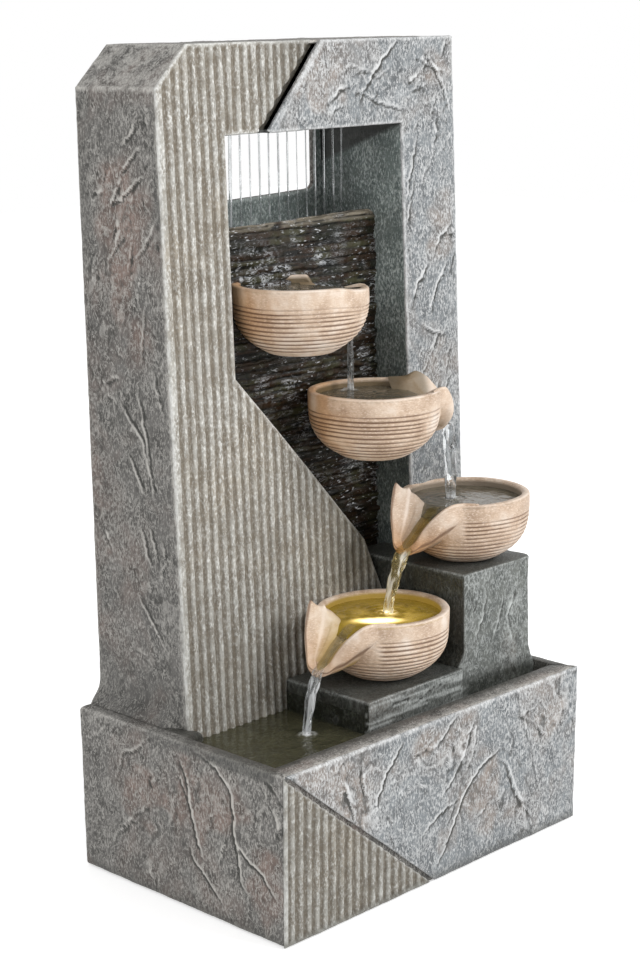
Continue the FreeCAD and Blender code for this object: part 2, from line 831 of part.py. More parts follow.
def make_rain_bar():
    """A tube across the lintel with a row of nozzles, its inlet barb, end cap and two clips."""
    tube = rod("bar_tube", "X", ("bar_left", "bar_y", "bar_z"), "bar_radius", "bar_right - bar_left")
    barb = rod("bar_barb", "X", ("bar_left - barb_long", "bar_y", "bar_z"), "hose_bore - running_gap",
               "barb_long + 1")
    stubs = []
    bores = []
    for number in range(int(size("nozzle_count"))):
        at = (f"nozzle_first + {number} * nozzle_pitch", "bar_y", "nozzle_tip")
        stubs.append(rod(f"nozzle_{number + 1}", "Z", at, "nozzle_radius",
                         "bar_z - bar_bore - nozzle_tip - 0.5"))
        at = (at[0], at[1], "nozzle_tip - 1")
        bores.append(rod(f"nozzle_bore_{number + 1}", "Z", at, "nozzle_bore", "bar_z - nozzle_tip"))
    bore = rod("bar_hollow", "X", ("bar_left + 2", "bar_y", "bar_z"), "bar_bore", "bar_right - bar_left")
    inlet = rod("barb_hollow", "X", ("bar_left - barb_long - 1", "bar_y", "bar_z"), "barb_bore",
                "barb_long + 4")
    node("rain_bar", cut("bar_cut", fuse("bar_solid", [tube, barb] + stubs), [bore, inlet] + bores))
    plug = rod("cap_plug", "X", ("bar_right - 6", "bar_y", "bar_z"), "bar_bore", "7")
    head = rod("cap_head", "X", ("bar_right", "bar_y", "bar_z"), "bar_radius", "3")
    node("rain_bar_cap", fuse("cap_solid", [plug, head]))
    clips = []
    screws = []
    shelf = "window_top + shell_wall"
    saddle_high = f"bar_z - ({shelf}) + bar_radius / 4"
    for side, place_x in (("left", "bar_left + clip_inset"),
                          ("right", "bar_right - clip_wide - clip_wide / 5")):
        saddle = block(
            f"clip_{side}_block",
            (place_x, "bar_y - bar_radius - clip_foot", shelf),
            ("clip_wide", "2 * bar_radius + 2 * clip_foot", saddle_high),
        )
        seat = rod(f"clip_{side}_seat", "X", (f"{place_x} - 1", "bar_y", "bar_z"), "bar_radius",
                   "clip_wide + 2")
        holes = []
        for edge, place_y in (
            ("front", "bar_y - bar_radius - clip_foot / 2"),
            ("back", "bar_y + bar_radius + clip_foot / 2"),
        ):
            at = (f"{place_x} + clip_wide / 2", place_y)
            holes.append(rod(f"clip_{side}_{edge}_hole", "Z", at + (shelf,), "screw_radius + screw_gap",
                             f"2 * ({saddle_high})"))
            shank = rod(f"screw_{side}_{edge}_shank", "Z", at + (shelf,), "screw_radius",
                        f"{saddle_high} + screw_radius / 3")
            head = rod(f"screw_{side}_{edge}_head", "Z", at + (f"{shelf} + {saddle_high}",), "screw_head",
                       "screw_head * 2 / 3")
            screws.append(fuse(f"screw_{side}_{edge}", [shank, head]))
        clips.append(cut(f"clip_{side}", saddle, [seat] + holes))
    group(clips, "rain_bar_clips")
    group(screws, "clip_screws")


def group(solids, name):
    """Identical pieces under one name, each still a solid of its own."""
    together = doc.addObject("Part::Compound", name + "_group")
    together.Links = solids
    return node(name, together)


def make_hose():
    """The riser hose: from the pump up through the left pillar to the rain bar, with two clamps."""
    bend = size("hose_bend")
    y = size("bar_y")
    top = size("bar_z")
    low = size("hose_low")
    left = size("hose_x")
    outlet_x = size("pump_x") - size("volute_long") / 2 + 1
    start = Vector(size("bar_left"), y, top)
    corners = [start, Vector(left, y, top), Vector(left, y, low), Vector(outlet_x, y, low)]
    end = Vector(outlet_x, y, size("pump_z + pump_high / 2 + neck_long"))
    corners.append(end)
    edges = []
    here = corners[0]
    for before, corner, after in zip(corners[:-2], corners[1:-1], corners[2:]):
        into = (corner - before).normalize()
        away = (after - corner).normalize()
        arc_start = corner - into * bend
        arc_end = corner + away * bend
        middle = corner + (away - into).normalize() * bend * (math.sqrt(2) - 1)
        edges.append(Part.makeLine(here, arc_start))
        edges.append(Part.Arc(arc_start, middle, arc_end).toShape())
        here = arc_end
    edges.append(Part.makeLine(here, end))
    path = Part.Wire(edges)
    first = (corners[1] - corners[0]).normalize()
    tubes = []
    for radius in (size("hose_radius"), size("hose_bore")):
        section = Part.Wire([Part.makeCircle(radius, start, first)])
        tubes.append(path.makePipeShell([section], True, False))
    solid = tubes[0].cut(tubes[1])
    print(f"hose: {path.Length:.0f} mm long, volume {solid.Volume:.0f}, section times length "
          f"{math.pi * (size('hose_radius') ** 2 - size('hose_bore') ** 2) * path.Length:.0f}")
    node("riser_hose", feature("riser_hose", solid))
    clamps = []
    for name, along, at in (
        ("top", "X", ("bar_left - barb_long / 2 - 4", "bar_y", "bar_z")),
        ("low", "Z", ("pump_x - volute_long / 2 + 1", "bar_y", "pump_z + pump_high / 2 + neck_long * 1.5")),
    ):
        ring = rod(f"clamp_{name}_ring", along, at, "hose_radius + 1.2", "8")
        if along == "X":
            ear = block(f"clamp_{name}_ear", (at[0], "bar_y - 4", "bar_z + hose_radius"), ("8", "8", "7"))
        else:
            ear = block(f"clamp_{name}_ear", (f"{at[0]} - 4", "bar_y - hose_radius - 7", at[2]),
                        ("8", "7", "8"))
        bore = rod(f"clamp_{name}_bore", along, at, "hose_radius", "8")
        clamps.append(cut(f"clamp_{name}", fuse(f"clamp_{name}_solid", [ring, ear]), [bore]))
    group(clamps, "hose_clamps")


def make_pump():
    """A small submersible pump on suction feet: motor housing, volute, rotor, grille and sponge."""
    low_y = "pump_y - pump_wide / 2"
    low_z = "pump_z - pump_high / 2"
    top_z = "pump_z + pump_high / 2"
    axis = ("pump_y", "pump_z")
    blank = block("housing_block", ("pump_x", low_y, low_z), ("pump_long", "pump_wide", "pump_high"))
    rounded = doc.addObject("Part::Fillet", "housing_round")
    rounded.Base = blank
    doc.recompute()
    front_x = size("pump_x - basin_wide / 2")
    far = [index + 1 for index, edge in enumerate(blank.Shape.Edges)
           if edge.BoundBox.XLength > 1 or edge.BoundBox.XMin > front_x + 1]
    rounding = size("volute_wall")
    rounded.Edges = [(index, rounding, rounding) for index in far]
    well = rod("rotor_well", "X", ("pump_x - 1",) + axis, "magnet_radius + 1", "magnet_long + 5")
    rear_seat = rod("shaft_seat", "X", ("pump_x",) + axis, "shaft_radius", "magnet_long + 10")
    node("pump_housing", cut("housing_cut", rounded, [well, rear_seat]))

    volute = block("volute_block", ("pump_x - volute_long", low_y, low_z),
                   ("volute_long", "pump_wide", "pump_high"))
    outlet_x = "pump_x - volute_long / 2 + 1"
    neck = rod("outlet_neck", "Z", (outlet_x, "bar_y", top_z), "hose_radius", "neck_long")
    barb = rod("outlet_barb", "Z", (outlet_x, "bar_y", f"{top_z} + neck_long - 1"), "hose_bore - running_gap",
               "barb_long + 1")
    chamber = rod("chamber", "X", ("pump_x - volute_long + volute_wall",) + axis, "chamber_radius",
                  "volute_long")
    way_up = rod("outlet_bore", "Z", (outlet_x, "bar_y", "pump_z"), "barb_bore",
                 "pump_high / 2 + barb_long + neck_long + 3")
    eye = rod("intake_eye", "X", ("pump_x - volute_long - 1",) + axis, "eye_radius", "volute_wall + 2")
    cover = cut("volute_open", fuse("volute_solid", [volute, neck, barb]), [chamber, way_up, eye])
    hub = rod("eye_hub", "X", ("pump_x - volute_long",) + axis, "eye_hub", "volute_wall")
    long_bar = "2 * eye_radius + volute_wall / 2"
    bar_one = block("eye_bar_one",
                    ("pump_x - volute_long", f"pump_y - ({long_bar}) / 2", "pump_z - eye_bar / 2"),
                    ("volute_wall", long_bar, "eye_bar"))
    bar_two = block("eye_bar_two",
                    ("pump_x - volute_long", "pump_y - eye_bar / 2", f"pump_z - ({long_bar}) / 2"),
                    ("volute_wall", "eye_bar", long_bar))
    front_seat = rod("front_seat", "X", ("pump_x - volute_long + 1",) + axis, "shaft_radius", "volute_wall")
    node("volute_cover",
         cut("volute_cut", fuse("volute_whole", [cover, hub, bar_one, bar_two]), [front_seat]))
    node("pump_shaft", rod("shaft_rod", "X", ("pump_x - volute_long + 1",) + axis, "shaft_radius",
                           "volute_long + magnet_long + 9"))

    magnet = rod("magnet", "X", ("pump_x + 2",) + axis, "magnet_radius", "magnet_long")
    neck = rod("rotor_neck", "X", ("pump_x - 2",) + axis, "5", "5")
    disc = rod("impeller_disc", "X", ("pump_x - 3.5",) + axis, "impeller_radius", "2")
    blades = []
    for number in range(5):
        blade = doc.addObject("Part::Box", f"impeller_blade_{number + 1}")
        blade.setExpression("Length", "7")
        blade.setExpression("Width", "1.4")
        blade.setExpression("Height", formula("impeller_radius - 1"))
        blade.Placement = FreeCAD.Placement(Vector(0, 0, 0), Rotation(Vector(1, 0, 0), 72 * number + 8))
        blades.append(place(blade, ("pump_x - 10", "pump_y", "pump_z")))
    core = rod("impeller_core", "X", ("pump_x - 11",) + axis, "3.6", "9")
    bore = rod("rotor_bore", "X", ("pump_x - 12",) + axis, "shaft_radius + running_gap", "magnet_long + 20")
    node("pump_rotor", cut("rotor_cut", fuse("rotor_solid", [magnet, neck, disc, core] + blades), [bore]))

    front = "pump_x - volute_long - grille_long"
    shell = block("grille_block", (front, low_y, low_z), ("grille_long", "pump_wide", "pump_high"))
    inner = block("grille_inner", (f"{front} + 2", f"{low_y} + 2", f"{low_z} + 2"),
                  ("grille_long", "pump_wide - 4", "pump_high - 4"))
    slots = []
    for number in range(6):
        if number in (2, 3):
            continue
        at = (f"{front} - 1", f"{low_y} + 5.5 + {number} * 6", f"{low_z} + 5")
        slots.append(block(f"grille_slot_{number + 1}", at, ("4", "3", "pump_high - 10")))
    pivot_hole = rod("dial_hole", "X", (f"{front} - 1",) + axis, "3 + running_gap", "4")
    node("intake_grille", cut("grille_cut", shell, [inner, pivot_hole] + slots))
    sponge = block("sponge_block", (f"{front} + 3", f"{low_y} + 2.4", f"{low_z} + 2.4"),
                   ("grille_long - 3.4", "pump_wide - 4.8", "pump_high - 4.8"))
    sponge_bore = rod("sponge_bore", "X", (f"{front} + 2",) + axis, "8", "grille_long")
    node("filter_sponge", cut("sponge_cut", sponge, [sponge_bore]))
    dial = rod("dial_disc", "X", (f"{front} - 4.5",) + axis, "7", "4")
    stem = rod("dial_stem", "X", (f"{front} - 1",) + axis, "3", "8")
    grip = block("dial_grip", (f"{front} - 8.5", "pump_y - 5.5", "pump_z - 1.2"), ("5", "11", "2.4"))
    node("flow_dial", fuse("dial_solid", [dial, stem, grip]))

    cups = []
    for corner, (x, y) in enumerate((("7", "7"), ("pump_long - 7", "7"), ("7", "pump_wide - 7"),
                                     ("pump_long - 7", "pump_wide - 7"))):
        at = (f"pump_x + {x}", f"{low_y} + {y}")
        skirt = cone(f"cup_skirt_{corner + 1}", "Z", at + ("basin_floor",), "cup_radius", "3.5", "3")
        neck = rod(f"cup_neck_{corner + 1}", "Z", at + ("basin_floor + 3",), "3.5",
                   "pump_z - pump_high / 2 - basin_floor - 3")
        cups.append(fuse(f"cup_{corner + 1}", [skirt, neck]))
    group(cups, "suction_feet")


def make_lights():
    """A sealed case with a domed lens on the floor of each lit bowl."""
    spots = {
        "wall_high": ("bowl_1_x", "bowl_1_y - 8", "bowl_1_rim - bowl_high + bowl_wall"),
        "wall_low": ("bowl_2_x", "bowl_2_y - 8", "bowl_2_rim - bowl_high + bowl_wall"),
        "bottom": ("bowl_4_x", "bowl_4_y", "lower_top + bowl_wall"),
    }
    for name, (x, y, z) in spots.items():
        case = rod(f"case_{name}_drum", "Z", (x, y, z), "light_radius", "light_high")
        recess = rod(f"case_{name}_recess", "Z", (x, y, f"{z} + light_high - 2"), "light_radius - 2", "3")
        node(f"light_case_{name}", cut(f"case_{name}", case, [recess]))
        dome = cone(f"lens_{name}_dome", "Z", (x, y, f"{z} + light_high - 2"), "light_radius - 2",
                    "light_radius - 6", "lens_high")
        node(f"light_lens_{name}", dome)


def make_door():
    """The service door in the back: it swings on two pivot pins and is held by a turned cam."""
    outer = "basin_deep"
    axis_y = "basin_deep - hinge_radius"
    low = "door_low + free_gap"
    tall = "door_high - 2 * free_gap"
    plate = block("door_plate", ("door_left", f"{outer} - door_thick", low),
                  ("door_wide", "door_thick", tall))
    knuckle = rod("door_knuckle", "Z", ("door_left", axis_y, low), "hinge_radius", tall)
    dish = rod("door_dish", "Y", ("knob_x", f"{outer} - dish_deep - 3", "knob_z"), "dish_radius",
               "dish_deep + 1")
    pins = rod("door_pin_holes", "Z", ("door_left", axis_y, "door_low - 1"), "pin_radius + running_gap",
               "door_high + 2")
    recess = rod("door_recess", "Y", ("knob_x", f"{outer} - dish_deep", "knob_z"), "dish_radius - 2.4",
                 "dish_deep + 1")
    way = rod("knob_way", "Y", ("knob_x", f"{outer} - dish_deep - 4", "knob_z"), "knob_shaft + running_gap",
              "6")
    ribs = [block(f"door_rib_{side}", ("door_left + 16", f"{outer} - door_thick - 2.5", f"door_low + {at}"),
                  ("door_wide - 40", "3", "4")) for side, at in (("low", "34"), ("high", "190"))]
    solid = fuse("door_solid", [plate, knuckle, dish] + ribs)
    node("service_door", cut("door_cut", solid, [pins, recess, way]))
    lengths = (("low", "door_low - pin_long / 2"), ("high", "door_low + door_high - pin_long / 2"))
    pins = [rod(f"pin_{side}", "Z", ("door_left", axis_y, start), "pin_radius", "pin_long")
            for side, start in lengths]
    group(pins, "door_pivot_pins")

    disc = rod("knob_disc", "Y", ("knob_x", f"{outer} - dish_deep + 0.3", "knob_z"), "knob_radius", "3")
    grip = block("knob_grip", ("knob_x - 3.5", f"{outer} - dish_deep + 3.2", "knob_z - knob_radius + 2"),
                 ("7", "dish_deep - 3.8", "2 * knob_radius - 4"))
    shaft = rod("knob_axle", "Y", ("knob_x", f"{outer} - dish_deep - 7", "knob_z"), "knob_shaft", "7.5")
    node("door_knob", fuse("knob_solid", [disc, grip, shaft]))
    cam_y = f"{outer} - dish_deep - 7"
    hub = rod("cam_hub", "Y", ("knob_x", cam_y, "knob_z"), "8", "3.5")
    arm = block("cam_arm", ("knob_x - 5", cam_y, "knob_z"), ("10", "3.5", "cam_long"))
    toe = block("cam_toe", ("knob_x - 5", cam_y, "knob_z + cam_long - 12"),
                ("10", "dish_deep + 7 - back_thick - free_gap", "12"))
    hole = rod("cam_hole", "Y", ("knob_x", f"{cam_y} - 1", "knob_z"), "knob_shaft", "6")
    node("latch_cam", cut("cam_cut", fuse("cam_solid", [hub, arm, toe]), [hole]))


def make_back_fittings():
    """The grommet for the pump's cord and the drain plug with its seal."""
    back_face = "basin_deep - back_thick"
    body = rod("grommet_body", "Y", ("grommet_x", f"{back_face} - 3", "grommet_z"), "grommet_radius",
               "back_thick + 3")
    outside = rod("grommet_outside", "Y", ("grommet_x", "basin_deep - 2", "grommet_z"),
                  "grommet_radius + 4", "2")
    inside = rod("grommet_inside", "Y", ("grommet_x", f"{back_face} - 3", "grommet_z"),
                 "grommet_radius + 3", "3")
    cord = rod("grommet_bore", "Y", ("grommet_x", f"{back_face} - 4", "grommet_z"), "cord_radius",
               "back_thick + 6")
    node("cable_grommet", cut("grommet_cut", fuse("grommet_solid", [body, outside, inside]), [cord]))
    stem = rod("plug_stem", "Y", ("drain_x", "basin_deep - rim_back", "drain_z"),
               "drain_radius - running_gap",
               "rim_back - 4")
    head = rod("plug_head", "Y", ("drain_x", "basin_deep - 4.5", "drain_z"), "drain_radius + 4", "3")
    pull = block("plug_pull", ("drain_x - 6", "basin_deep - 2", "drain_z - 1.5"), ("12", "2", "3"))
    node("drain_plug", fuse("plug_solid", [stem, head, pull]))


make_basin()
make_tower_shell()
make_ribbed_facing()
make_slate_facing()
make_wet_wall()
make_upper_tray()
make_steps()
make_bowls()
make_rain_bar()
make_hose()
make_pump()
make_lights()
make_door()
make_back_fittings()
doc.removeObject(gauge.Name)
doc.recompute()

failed = [item.Name for item in doc.Objects if "Invalid" in item.State or "Error" in item.State]
for name, solid in NODES.items():
    if solid.Shape.isNull() or not solid.Shape.isValid() or not solid.Shape.Solids:
        failed.append(name)
if failed:
    raise SystemExit("objects that failed: " + ", ".join(failed))
for name, solid in NODES.items():
    solid.Shape.exportStep(f"parts/{name}.step")
print(f"{len(NODES)} sub-parts written")
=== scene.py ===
# %% [markdown]
# # A garden wall fountain in cast stone
# A tub, a hollow tower with a window, and four bowls that pass the water down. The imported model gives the
# frame: every size and place below is counted in millimetres from the tub's front left corner, then scaled
# to metres. X runs along the front, Y towards the wall behind the fountain, and Z up.

# %% Load the frame
import math
from functools import partial

import bmesh
import bpy
import numpy as np
from mathutils import Matrix, Vector


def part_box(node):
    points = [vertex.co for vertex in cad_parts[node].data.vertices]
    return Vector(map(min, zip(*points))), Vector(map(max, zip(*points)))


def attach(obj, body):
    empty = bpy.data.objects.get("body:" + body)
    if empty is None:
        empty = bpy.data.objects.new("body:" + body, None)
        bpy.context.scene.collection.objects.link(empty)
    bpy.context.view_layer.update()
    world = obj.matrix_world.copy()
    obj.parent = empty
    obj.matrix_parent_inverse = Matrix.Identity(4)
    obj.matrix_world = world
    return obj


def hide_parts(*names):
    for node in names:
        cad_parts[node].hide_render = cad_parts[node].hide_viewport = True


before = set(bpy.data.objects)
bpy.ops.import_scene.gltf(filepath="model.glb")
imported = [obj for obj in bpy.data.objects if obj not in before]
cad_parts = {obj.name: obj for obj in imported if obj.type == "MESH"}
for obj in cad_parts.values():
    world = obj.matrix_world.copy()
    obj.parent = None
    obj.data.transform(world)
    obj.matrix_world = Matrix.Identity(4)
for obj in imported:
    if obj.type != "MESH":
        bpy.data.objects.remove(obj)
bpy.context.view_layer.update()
MM = 0.001
CORNER = np.array([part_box("basin")[0].x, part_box("basin")[0].y, 0.0])


def span(node):
    """A node's low and high corners in millimetres from the tub's front left corner."""
    return tuple((np.array(end) - CORNER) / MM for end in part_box(node))


BASIN_WIDE, BASIN_DEEP, BASIN_HIGH = span("basin")[1]
RIGHT = BASIN_WIDE
TOWER_LEFT = span("tower_shell")[0][0]
TOWER_TOP = span("tower_shell")[1][2]
print("tub", BASIN_WIDE, BASIN_DEEP, BASIN_HIGH, "tower", TOWER_LEFT, TOWER_TOP)

# %% [markdown]
# The castings' other sizes. The tower's front leans back a little, so its depth is a function of height.

# %% Name the sizes
UNDERCUT = 4.0
RIM_FRONT, RIM_LEFT, RIM_SIDE = 40.0, 20.0, 14.0
RIM_FALL = 13.0
SHOULDER, SHOULDER_FROM = 44.0, 157.0
TOWER_FRONT, TOWER_LEAN = 165.0, 18.0
SLATE_PROUD = 5.0
WINDOW = (114.0, 362.0, 752.0)
SLANT_X, SLANT_Z = TOWER_LEFT + 41.0, TOWER_TOP - 40.0
SLOPE_X = np.array([WINDOW[0], 292.0, 326.0])
SLOPE_Z = np.array([515.0, 317.0, 235.0])
SEAM_LOW_X, SEAM_TOP_X = 168.5, 247.5
SEAM_FOOT, SEAM_HALF = 212.0, 2.0
WALL_FRONT, CREST = 212.0, 653.0
BACK_SILL, SILL_CLIMB = 673.0, 7.0
BACK_LIP, BACK_CORNER, BACK_WALL = 10.0, 8.0, 8.0
EDGE = 3.5
RIB_PITCH, RIB_DEEP = 11.2, 2.6


def front_at(z):
    """The tower's front plane: Y grows evenly with height, from the tub's rim to the top."""
    return TOWER_FRONT + TOWER_LEAN * (z - BASIN_HIGH) / (TOWER_TOP - BASIN_HIGH)


# %% [markdown]
# ## Camera, light and floor
# The camera stands at the front left corner, a little above the top of the tower, and looks down 13 degrees.
# Its place, turn and focal length were fitted to the corners of the tub, the tower and the window.

# %% Set the camera
CAMERA_PLACE = Vector((-1.46845, -1.43350, 0.86953))
YAW = math.radians(45.36)
PITCH = math.radians(-13.01)
ROLL = math.radians(-0.97)
FOCAL_PIXELS = 2047.36
IMAGE_HIGH = 963
SENSOR = 36.0

ahead = Vector((math.sin(YAW) * math.cos(PITCH), math.cos(YAW) * math.cos(PITCH), math.sin(PITCH)))
level = Vector((math.cos(YAW), -math.sin(YAW), 0))
above = level.cross(ahead)
right = math.cos(ROLL) * level + math.sin(ROLL) * above
up = math.cos(ROLL) * above - math.sin(ROLL) * level
lens = bpy.data.cameras.new("camera")
lens.sensor_fit = "AUTO"
lens.sensor_width = SENSOR
lens.lens = FOCAL_PIXELS * SENSOR / IMAGE_HIGH
camera = bpy.data.objects.new("camera", lens)
turn = Matrix((right, up, -ahead)).transposed().to_4x4()
camera.matrix_world = Matrix.Translation(CAMERA_PLACE) @ turn
bpy.context.scene.collection.objects.link(camera)
bpy.context.scene.camera = camera
print("lens", round(lens.lens, 2), "mm")

# %% [markdown]
# A material is a small tree of nodes. One helper adds a node: its sockets are set by place or by name, and
# its settings, which start with a small letter, by name. A Map Range takes its value, the span that it comes
# from and the span that it goes to, in that order.

# %% Helpers for materials
def colour(text, alpha=1.0):
    """sRGB hex to linear: each channel c becomes ((c + 0.055) / 1.055) ** 2.4, or c / 12.92 when dark."""
    channels = np.array([int(text[i:i + 2], 16) for i in (0, 2, 4)]) / 255
    linear = np.where(channels > 0.04045, ((channels + 0.055) / 1.055) ** 2.4, channels / 12.92)
    return (*linear.tolist(), alpha)


def add_node(tree, kind, *values, **named):
    """Adds one node. A socket takes a number, a vector, a colour in hex, an output, or a node, which
    gives its factor if it has one, or else the first output that its settings leave on."""
    node = tree.nodes.new("ShaderNode" + kind)
    sockets = dict(enumerate(values))
    for name, value in named.items():
        if name[0].isupper():
            sockets[name.replace("_", " ")] = value
        else:
            setattr(node, name, value)
    for name, value in sockets.items():
        if isinstance(value, bpy.types.Node):
            value = value.outputs.get("Fac") or next(out for out in value.outputs if out.enabled)
        if isinstance(value, bpy.types.NodeSocket):
            tree.links.new(value, node.inputs[name])
        else:
            node.inputs[name].default_value = colour(value) if isinstance(value, str) else value
    return node


def new_material(name):
    """An empty node material, a function that adds nodes to it, and the object's own coordinates."""
    material = bpy.data.materials.new(name)
    material.use_nodes = True
    material.node_tree.nodes.clear()
    add = partial(add_node, material.node_tree)
    return material, add, add("TexCoord").outputs["Object"]


def per(size):
    """A texture's scale, in cycles per metre, for features this many millimetres across."""
    return 1000 / size


# %% [markdown]
# A studio: an even white surround, one broad lamp from the front right that leaves the left sides darker,
# as in the photograph, and a pale floor. The camera, gloss and clear materials see the surround as plain
# white, and the floor as near white with a shadow on it.

# %% Light and floor
SURROUND = 0.62


def seen_plain(add):
    """1 for rays from the camera and for those that gloss or a clear material sends on."""
    rays = add("LightPath").outputs
    clear = add("Math", rays["Is Glossy Ray"], rays["Is Transmission Ray"], operation="MAXIMUM")
    return add("Math", rays["Is Camera Ray"], clear, operation="MAXIMUM")


def add_surround():
    world = bpy.data.worlds.new("studio")
    world.use_nodes = True
    world.node_tree.nodes.clear()
    add = partial(add_node, world.node_tree)
    dim, white = (add("Background", Color="ffffff", Strength=strength) for strength in (SURROUND, 1.0))
    add("OutputWorld", Surface=add("MixShader", seen_plain(add), dim, white))
    bpy.context.scene.world = world
    bpy.context.scene.view_settings.view_transform = "Standard"


def lamp(name, place, target, size, power):
    """A square area lamp in metres and watts, turned towards a target."""
    data = bpy.data.lights.new(name, "AREA")
    data.size = size
    data.energy = power
    item = bpy.data.objects.new(name, data)
    item.location = place
    item.rotation_euler = (Vector(target) - Vector(place)).to_track_quat("-Z", "Y").to_euler()
    bpy.context.scene.collection.objects.link(item)


def add_floor():
    """A wide square just under the tub, painted so that it shows near white and still takes a shadow."""
    half, under = 6.0, -0.0005
    mesh = bpy.data.meshes.new("floor")
    corners = [(x * half, y * half, under) for x, y in ((-1, -1), (1, -1), (1, 1), (-1, 1))]
    mesh.from_pydata(corners, [], [(0, 1, 2, 3)])
    material, add, _ = new_material("studio_floor")
    paint = add("BsdfDiffuse", Color="f4f4f4")
    lifted = add("AddShader", paint, add("Emission", Color="ffffff", Strength=0.5))
    add("OutputMaterial", Surface=add("MixShader", seen_plain(add), paint, lifted))
    mesh.materials.append(material)
    item = bpy.data.objects.new("floor", mesh)
    bpy.context.scene.collection.objects.link(item)


add_surround()
lamp("key_lamp", (1.1, -2.6, 2.0), (0, 0, 0.4), 1.4, 62)
lamp("fill_lamp", (-2.4, -0.9, 1.5), (0, 0, 0.4), 1.6, 17)
add_floor()

# %% [markdown]
# ## Helpers for cast surfaces
# Every casting below is a grid of points, worked out as whole numpy arrays and handed to a mesh in one go.
# Rough stone needs a noise that is the same on two pieces that meet, so it is a function of place alone.

# %% Noise and rounding
LATTICE = np.random.default_rng(7).random((32, 32, 32))


def noise(points, grain, seed=0):
    """Random numbers on a cubic lattice, blended with the smooth step 3f^2 - 2f^3; 0 to 1."""
    where = points / grain + 7.31 * seed
    low = np.floor(where).astype(int)
    part = where - low
    part = part * part * (3 - 2 * part)
    total = np.zeros(points.shape[:-1])
    for corner in np.ndindex(2, 2, 2):
        index = (low + corner) % 32
        weight = np.prod(np.where(np.array(corner, bool), part, 1 - part), axis=-1)
        total += weight * LATTICE[index[..., 0], index[..., 1], index[..., 2]]
    return total


def rough(points, grain, octaves=3, seed=0):
    """Noise on noise: each octave has half the grain and half the height of the one before; 0 to 1."""
    weights = 0.5 ** np.arange(octaves)
    layers = [w * noise(points, grain * w, seed + i) for i, w in enumerate(weights)]
    return sum(layers) / weights.sum()


def smooth(value, low, high):
    """0 below low, 1 above high, and 3f^2 - 2f^3 between."""
    part = np.clip((value - low) / (high - low), 0, 1)
    return part * part * (3 - 2 * part)


def fallen(distance, radius=EDGE):
    """How far a rounded edge has dropped at a distance from it: r - sqrt(r^2 - (r - d)^2)."""
    away = np.clip(radius - distance, 0, radius)
    return radius - np.sqrt(radius ** 2 - away ** 2)


def from_lines(u, v, lines):
    """The distance in a plane from each point to the nearest of several straight lines."""
    best = np.full(u.shape, 1e6)
    for u0, v0, u1, v1 in lines:
        long = max((u1 - u0) ** 2 + (v1 - v0) ** 2, 1e-9)
        share = np.clip(((u - u0) * (u1 - u0) + (v - v0) * (v1 - v0)) / long, 0, 1)
        best = np.minimum(best, np.hypot(u - u0 - share * (u1 - u0), v - v0 - share * (v1 - v0)))
    return best


# %% [markdown]
# Rows and columns stand closer together where an edge is rounded, so that the rounding shows. `strip` fills
# the space between a lower and an upper line with rows, which lets a grid follow a slanted border exactly.

# %% Grids and outlines
FINE = np.array([0.0, 0.5, 1.2, 2.2, 3.5])


def spread(start, stop, cell):
    """Places from start to stop about a cell apart, and closer near both ends."""
    fine = FINE * min(1.0, (stop - start) / (3 * FINE[-1]))
    count = max(2, int(round((stop - start - 2 * fine[-1]) / cell)) + 1)
    inner = np.linspace(start + fine[-1], stop - fine[-1], count)
    return np.concatenate([start + fine[:-1], inner, stop - fine[-2::-1]])


def columns(stops, cell):
    """Spread places through several stops, each of them hit exactly."""
    runs = [spread(a, b, cell) for a, b in zip(stops[:-1], stops[1:])]
    return np.unique(np.round(np.concatenate(runs), 4))


def strip(across, low, high, cell):
    """A grid (rows by columns) between the lines low(x) and high(x)."""
    low = np.broadcast_to(low, across.shape).astype(float)
    high = np.maximum(np.broadcast_to(high, across.shape), low)
    fine = FINE[:, None] * np.minimum(1, (high - low) / (3 * FINE[-1]))
    share = np.linspace(0, 1, max(2, int(round((high - low).max() / cell))))[:, None]
    start, stop = low + fine[-1], high - fine[-1]
    up_rows = np.concatenate([low + fine[:-1], start + share * (stop - start), high - fine[-2::-1]])
    return np.broadcast_to(across, up_rows.shape), up_rows


def arc_points(x, y, radius, start, stop):
    """Points of a circle about (x, y) between two angles in degrees."""
    angle = np.radians(np.linspace(start, stop, 7))
    return [(x + radius * math.cos(a), y + radius * math.sin(a)) for a in angle]


def walk(corners, cell, closed=True):
    """Points along an outline or an open path, about a cell apart, with every corner kept."""
    corners = np.array(list(corners) + [corners[0]] * closed, float)
    points = []
    for a, b in zip(corners[:-1], corners[1:]):
        share = np.linspace(0, 1, max(1, int(round(math.dist(a, b) / cell))), endpoint=False)
        points.append(a + share[:, None] * (b - a))
    return np.concatenate(points + [corners[-1:]] * (not closed))


def stacked(rows):
    """A closed skin's points: rings with their heights, each ring ended where it starts."""
    points = np.array([np.column_stack([ring, np.full(len(ring), z)]) for ring, z in rows])
    return np.concatenate([points, points[:, :1]], axis=1)


def at(x, y, z):
    """Stacks three arrays into points."""
    return np.stack(np.broadcast_arrays(x, y, z), axis=-1).astype(float)


def axes(points):
    """The X, Y and Z of points, which change with the points themselves."""
    return np.moveaxis(points, -1, 0)


# %% [markdown]
# Many grids make one piece. Their cells become the faces of one mesh, points that meet are welded, and each
# grid's marks, such as how wet or how worn it is, stay on the points, where the finishes read them.

